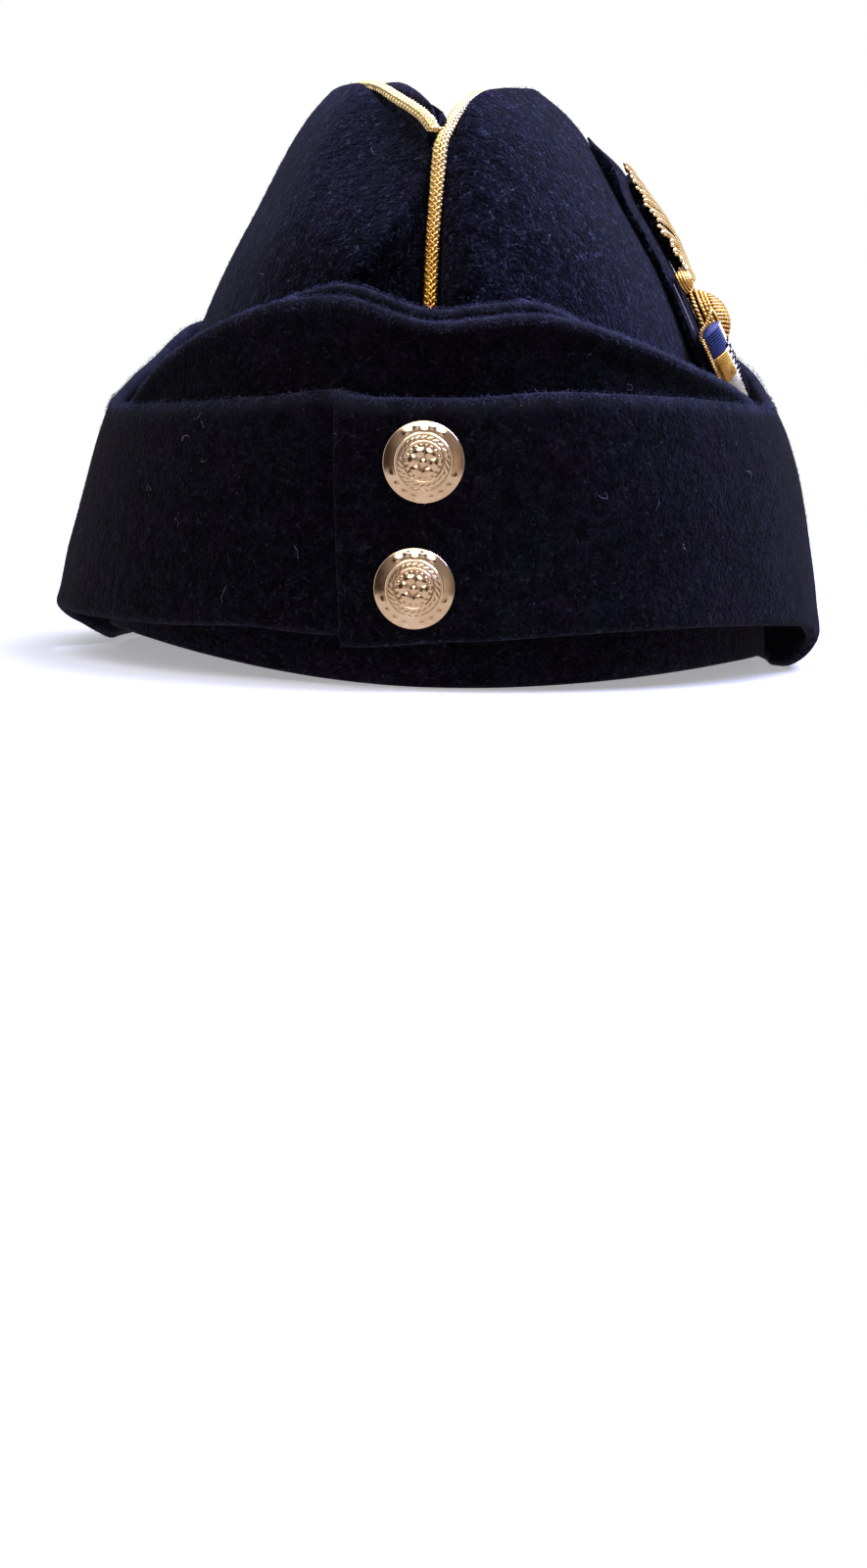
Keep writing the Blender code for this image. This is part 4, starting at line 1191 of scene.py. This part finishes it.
def boss():
    """Domed boss: a padded base under a close coil of gold cord, ringed by a twisted cord."""
    pad(
        "badge_boss_base", BOSS_CENTRE, lambda degrees: BOSS_RADIUS * 0.96, ON_PATCH,
        lambda share, u, w: boss_height(share, 0.0007), (), 60, 12,
    )
    bundle = Bundle()
    share = np.linspace(BOSS_COIL_START, 1, 520)
    angle = 2 * np.pi * BOSS_COIL_TURNS * (share - BOSS_COIL_START) / (1 - BOSS_COIL_START)
    u, w = polar(BOSS_CENTRE, BOSS_RADIUS * share, angle)
    path, marks = evenly(chart.at(u, w, ON_PATCH + boss_height(share)), 0.00022)
    wave = np.cos(2 * np.pi * marks / BOSS_CORD_PITCH)
    swell = BOSS_CORD * (1 - BOSS_CORD_SWELL + BOSS_CORD_SWELL * wave)
    bundle.take(*tube(path, swell, chart.up(*BOSS_CENTRE), 8))
    for k in range(BOSS_ROWS):
        aside = 0.70 * (2 * (k + 0.5) / BOSS_ROWS - 1)
        half = math.sqrt(BOSS_ROWS_END**2 - aside**2)
        t = np.linspace(-half, half, 24)
        w = BOSS_CENTRE[1] + BOSS_RADIUS * (aside + 0.06 * (t / BOSS_ROWS_END)**2)
        lift = ON_PATCH + boss_height(np.hypot(t, aside)) + 0.0002
        purl_at(bundle, BOSS_CENTRE[0] + BOSS_RADIUS * t, w, lift, *BOSS_PURL)
    bundle.piece("badge_boss_coil", purl, "gilt_purl", ("badge_boss",))
    ring = Bundle()
    u, w = polar(BOSS_CENTRE, BOSS_RADIUS + BOSS_RING_OUT, np.linspace(0, 2 * np.pi, 90))
    twist_at(ring, u, w, ON_PATCH + 0.0007, *BOSS_RING_CORD)
    ring.piece("badge_boss_ring", purl, "gilt_purl")


boss()

# Knots: small balls of coiled gold purl
for name, *centre in KNOTS:
    bundle = Bundle()
    t = np.linspace(0.04, 1, 200)
    down = KNOT_END * t
    lift = ON_PATCH + 0.0004 + KNOT_RADIUS * BADGE_SPAN * 0.80 * (np.cos(down) - math.cos(KNOT_END))
    u, w = polar(centre, KNOT_RADIUS * np.sin(down), 2 * np.pi * KNOT_TURNS * t)
    purl_at(bundle, u, w, lift, *KNOT_PURL)
    bundle.piece(f"{name}_purl", purl, "gilt_purl", (name,))


@np.vectorize
def ribbon_at(u, aside):
    """Chart place of a point of the ribbon at u, aside from its middle line."""
    small = 0.007
    slope = (RIBBON_LINE.at(u + small, "height") - RIBBON_LINE.at(u - small, "height")) / (2 * small)
    size = math.hypot(1, slope)
    return u - slope / size * aside, RIBBON_LINE.at(u, "height") + aside / size


def ribbon_lift(aside):
    """Height of the ribbon's face: crowned, and rising towards the boss."""
    share = aside / RIBBON_HALF
    return ON_PATCH + (RIBBON_WALL - 0.0005) * (1 - 0.55 * share**2) + RIBBON_TILT * (share + 1) / 2


def ribbon_band(us):
    """Padded band of the ribbon, under its threads."""
    asides = np.linspace(-RIBBON_HALF, RIBBON_HALF, 13)
    spots = ribbon_at(us[:, None], asides)
    top, bottom = chart.at(*spots, ribbon_lift(asides)), chart.at(*spots, ON_PATCH)
    rows = np.concatenate([top, bottom[:, ::-1]], axis=1)
    count = rows.shape[1]
    faces = cells(len(us), count, True).tolist()
    faces.append(list(range(count)))
    faces.append(list(range((len(us) - 1) * count, len(us) * count))[::-1])
    add("badge_ribbon_band", rows, faces, blue, "blue_silk", ("badge_ribbon",), tidy=True)


def ribbon_threads():
    """Close threads over the band: blue silk on its lower side at both ends, silver purl, and gold folds."""
    ends, middle, folds = Bundle(), Bundle(), Bundle()
    aside = np.linspace(-RIBBON_HALF, RIBBON_HALF, 12)
    lift = ribbon_lift(aside) + 0.00012
    for k in range(RIBBON_THREADS):
        share = (k + 0.5) / RIBBON_THREADS
        along = mix(RIBBON_START, RIBBON_END, share)
        u, w = ribbon_at(along, aside)
        near_end = min(share, 1 - share)
        silver_from = 7 if near_end < RIBBON_SILK_END else 0
        if silver_from:
            path = chart.at(u[:8], w[:8], lift[:8])
            ends.take(*tube(path, 0.00024, chart.up(*ribbon_at(along, 0.0)), 6))
        elif near_end < RIBBON_FOLD_END:
            purl_at(folds, u[:6], w[:6], lift[:6] + 0.00055, *FOLD_PURL)
        purl_at(middle, u[silver_from:], w[silver_from:], lift[silver_from:], *SILVER_PURL)
    folds.piece("badge_ribbon_folds", purl, "gilt_purl")
    ends.piece("badge_ribbon_silk", blue, "blue_silk")
    middle.piece("badge_ribbon_silver", silver, "gilt_purl")


def ribbon_stitches():
    """Dark thread that runs zigzag over the silver."""
    share = np.linspace(0.06, 0.94, 264)
    aside = RIBBON_HALF * (0.42 + 0.34 * (2 * np.abs((share * 32) % 1 * 2 - 1) - 1))
    path = chart.at(*ribbon_at(mix(RIBBON_START, RIBBON_END, share), aside), ribbon_lift(aside) + 0.00042)
    add("badge_ribbon_stitches", *tube(path, 0.00018, chart.up(0.01, 0.03), 6), navy, "navy_wool")


def ribbon_edge(name, hand, us):
    """Twisted cords along one edge of the ribbon, and round its two ends up to the middle line."""
    cords = Bundle()
    lift = ribbon_lift(hand * RIBBON_HALF) - (0.0002 if hand > 0 else 0.0)
    for out, radius in EDGE_CORDS:
        twist_at(cords, *ribbon_at(us, hand * (RIBBON_HALF + out / BADGE_SPAN)), lift, radius, EDGE_PITCH)
    turn = np.linspace(0, np.pi / 2, 14)
    for end, way in ((RIBBON_START, -1), (RIBBON_END, 1)):
        bend = ribbon_at(end + way * 0.020 * np.cos(turn), hand * (RIBBON_HALF + 0.016) * np.sin(turn))
        lift = ribbon_lift(hand * RIBBON_HALF * np.sin(turn)) - 0.0002
        twist_at(cords, *bend, lift, EDGE_CORDS[0][1], EDGE_PITCH)
    cords.piece(f"{name}_cord", purl, "gilt_purl", (name,))


us = np.linspace(RIBBON_START, RIBBON_END, 170)
ribbon_band(us)
ribbon_threads()
ribbon_stitches()
ribbon_edge("badge_edge_upper", 1, us)
ribbon_edge("badge_edge_lower", -1, us)


def nap(name, grid, count, surface, longest, stand, thick, at_edge=False):
    """Fine loose fibres standing a little off the cloth, or only along its top edge."""
    rows, columns = grid.shape[:2]
    first = grid[1:, :-1] - grid[:-1, :-1]
    second = grid[:-1, 1:] - grid[:-1, :-1]
    area = np.linalg.norm(np.cross(first, second), axis=-1).ravel()
    cell = chance.choice(len(area), size=count, p=area / area.sum())
    i, j = cell // (columns - 1), cell % (columns - 1)
    a, b = chance.random(count), chance.random(count)
    if at_edge:
        i = chance.integers(0, rows - 1, count)
        below = lengths(grid, 1, -1).mean(axis=0)
        run = np.interp(EDGE_REACH * b**1.3, below[::-1], np.arange(columns)[::-1])
        run = np.minimum(run, columns - 1.001)
        j = run.astype(int)
        b = run - j
    root, normal = between(grid, i, j, a, b), unit(between(facing_out(grid), i, j, a, b))
    upward = unit(normal + (0, 0, 0.8 if at_edge else 0))
    along = chance.normal(size=(count, 3))
    along = unit(along - upward * np.sum(along * upward, axis=1, keepdims=True))
    lift = np.radians(chance.uniform(*stand, count))[:, None]
    size = (longest * chance.uniform(0.35, 1, count)**1.3)[:, None]
    heading = along * np.cos(lift) + upward * np.sin(lift)
    curl = unit(np.cross(upward, along)) * chance.normal(0, 0.95, (count, 1))
    middle = root + heading * size * 0.5 + curl * size * 0.25
    tip = root + heading * size * 0.85 - curl * size * 0.1 - normal * size * 0.12
    wide = thick * chance.uniform(0.6, 1.3, count)[:, None, None]
    side = unit(np.cross(heading, upward))
    over = np.cross(side, heading)
    ring = middle[:, None] + turned(side[:, None], over[:, None], 2 * np.pi * np.arange(3) / 3) * wide
    points = np.concatenate([(root - normal * 0.0002)[:, None], ring, tip[:, None]], axis=1).reshape(-1, 3)
    points[:, 2] = np.maximum(points[:, 2], 0)
    pattern = np.array([(0, 2, 1), (0, 3, 2), (0, 1, 3), (1, 2, 4), (2, 3, 4), (3, 1, 4)])
    faces = (5 * np.arange(count)[:, None, None] + pattern).reshape(-1, 3)
    add(name, points, faces.tolist(), surface, "navy_wool")


over_patch = chart.at(np.linspace(-0.22, 0.25, 24)[:, None], np.linspace(0.10, 0.76, 40), ON_PATCH - CLEAR)
worn.append(("badge_patch", over_patch, PATCH_FIBRES, band_fuzz_shaded))
for name, grid, (count, edge_count), surface in worn:
    thick = NAP_THICK if surface == fuzz else BAND_NAP_THICK
    nap(f"{name}_nap", grid, count, surface, NAP_LENGTH, NAP_STAND, thick)
    nap(f"{name}_lint", grid, count // LINT_SHARE, lint, LINT_LENGTH, LINT_STAND, LINT_THICK)
    # Edge fibres take the painted-highlight nap
    if edge_count:
        nap(f"{name}_edge", grid, edge_count, highlight_fuzz, NAP_LENGTH, EDGE_STAND, NAP_THICK, at_edge=True)

# Places of long fibres on each surface, by its own two measures
FIBRE_SPOTS = (
    (partial(curtain_point, -1), (
        (36.5, 0.92), (35.0, 0.90), (38.0, 0.82), (33.5, 0.74), (36.0, 0.44), (43.5, 0.60), (26.5, 0.18),
        (17.5, 0.36),
    )),
    (partial(curtain_point, 1), ((22.5, 0.58), (34.5, 0.34), (48.5, 0.68), (30.0, 0.50))),
    (partial(crown_point, 1), ((0.135, 0.685), (0.247, 0.641), (0.112, 0.79), (0.27, 0.77))),
    (partial(crown_point, -1), ((0.206, 0.746), (0.098, 0.702), (0.21, 0.615), (0.139, 0.886))),
    (peak_point, ((22.4, 0.90), (29.4, 0.85), (16.1, 0.80))),
)


def loose_fibre(surface_at, a, b):
    """A long curled fibre caught on the cloth, as points and faces."""
    small = 0.004
    here = np.array(surface_at(a, b))
    along = unit(np.array(surface_at(a + small * (8 if a > 1 else 1), b)) - here)
    rise = unit(np.array(surface_at(a, b + small)) - here)
    out = unit(np.cross(along, rise))
    out = out if np.dot(out, here - INSIDE) > 0 else -out
    share = np.linspace(0, 1, FIBRE_STEPS)
    heading = chance.uniform(0, 2 * math.pi) + np.cumsum(chance.normal(0, 0.16, FIBRE_STEPS))
    heading += chance.uniform(-4.5, 4.5) * share
    step = FIBRE_LENGTH * chance.uniform(0.5, 1.1) / FIBRE_STEPS
    path = here + SHIFT + np.cumsum(turned(along, rise, heading), axis=0) * step
    path += out * (0.00018 + 0.0005 * np.sin(np.pi * share))[:, None]
    return tube(path, FIBRE_RADIUS, out, 5)


bundle = Bundle()
for surface_at, spots in FIBRE_SPOTS:
    for spot in spots:
        bundle.take(*loose_fibre(surface_at, *spot))
bundle.piece("loose_fibres", lint, "navy_wool")


# Floor, camera and lights
def floor():
    """Plain pale floor."""
    surface = Surface("pale_floor", Roughness=0.9, Specular_IOR_Level=0.0)
    surface.to(Emission_Color=(1, 1, 1), Emission_Strength=FLOOR_GLOW)
    surface.to(Base_Color=surface.ramp(surface.noise(3, 2), (0.3, 0.88), (0.7, 0.92)))
    corners = [(x * FLOOR_HALF, y * FLOOR_HALF, -FLOOR_DROP) for x, y in ((-1, -1), (1, -1), (1, 1), (-1, 1))]
    data = bpy.data.meshes.new("floor")
    data.from_pydata(corners, [], [(0, 1, 2, 3)])
    data.materials.append(surface.made)
    made = in_scene("floor", data)
    made.visible_diffuse = made.visible_glossy = made.visible_shadow = False


def camera():
    """Camera at the photograph's viewing angle."""
    data = bpy.data.cameras.new("camera")
    data.sensor_fit = "VERTICAL"
    data.sensor_height = SENSOR_HEIGHT
    data.lens = LENS
    data.clip_start = 0.01
    made = in_scene("camera", data)
    pitch, swing, roll = (math.radians(angle) for angle in CAMERA_TURNS)
    ahead = Vector((math.sin(swing) * math.cos(pitch), math.cos(swing) * math.cos(pitch), -math.sin(pitch)))
    right = Vector((math.cos(swing), -math.sin(swing), 0))
    up = right.cross(ahead)
    rolled = math.cos(roll) * right + math.sin(roll) * up
    upright = -math.sin(roll) * right + math.cos(roll) * up
    matrix = Matrix((rolled, upright, -ahead)).transposed().to_4x4()
    matrix.translation = Vector(CAMERA_SPOT) + Vector(SHIFT)
    made.matrix_world = matrix
    bpy.context.scene.camera = made


def surroundings():
    """Soft studio surroundings: the sky for cloth, the shine for metal, and white behind the object."""
    world = bpy.data.worlds.new("studio")
    world.use_nodes = True
    bpy.context.scene.world = world
    tree = world.node_tree
    axes = new_node(tree, "SeparateXYZ", Vector=new_node(tree, "TexCoord").outputs["Generated"]).outputs

    def banded(light):
        """The light's colour as it is, or an output of the band that it is."""
        if len(light) == 3:
            return light
        axis, start, end, low, high = light
        share = grown(tree, axes[axis], start, end, "SMOOTHSTEP")
        return mixed(tree, "MIX", share, banded(low), banded(high))

    rays = new_node(tree, "LightPath").outputs
    light = mixed(tree, "MIX", rays["Is Glossy Ray"], banded(SKY), banded(SHINE))
    room = feed(tree, tree.nodes["Background"], Color=light, Strength=SKY_STRENGTH)
    behind = new_node(tree, "Background", Color=(1, 1, 1))
    seen = new_node(tree, "MixShader", Fac=rays["Is Camera Ray"])
    tree.links.new(room.outputs[0], seen.inputs[1])
    tree.links.new(behind.outputs[0], seen.inputs[2])
    feed(tree, tree.nodes["World Output"], Surface=seen.outputs[0])


def sun():
    """Broad soft light from above and the right."""
    data = bpy.data.lights.new("sun", "SUN")
    data.energy = SUN_STRENGTH
    data.color = SUN_COLOUR
    data.angle = math.radians(SUN_SPREAD)
    in_scene("sun", data).rotation_euler = (-Vector(SUN_FROM)).to_track_quat("-Z", "Y").to_euler()


floor()
camera()
surroundings()
sun()
view = bpy.context.scene.view_settings
view.view_transform = "Standard"
view.look = "None"
view.exposure = 0.0
view.gamma = 1.0
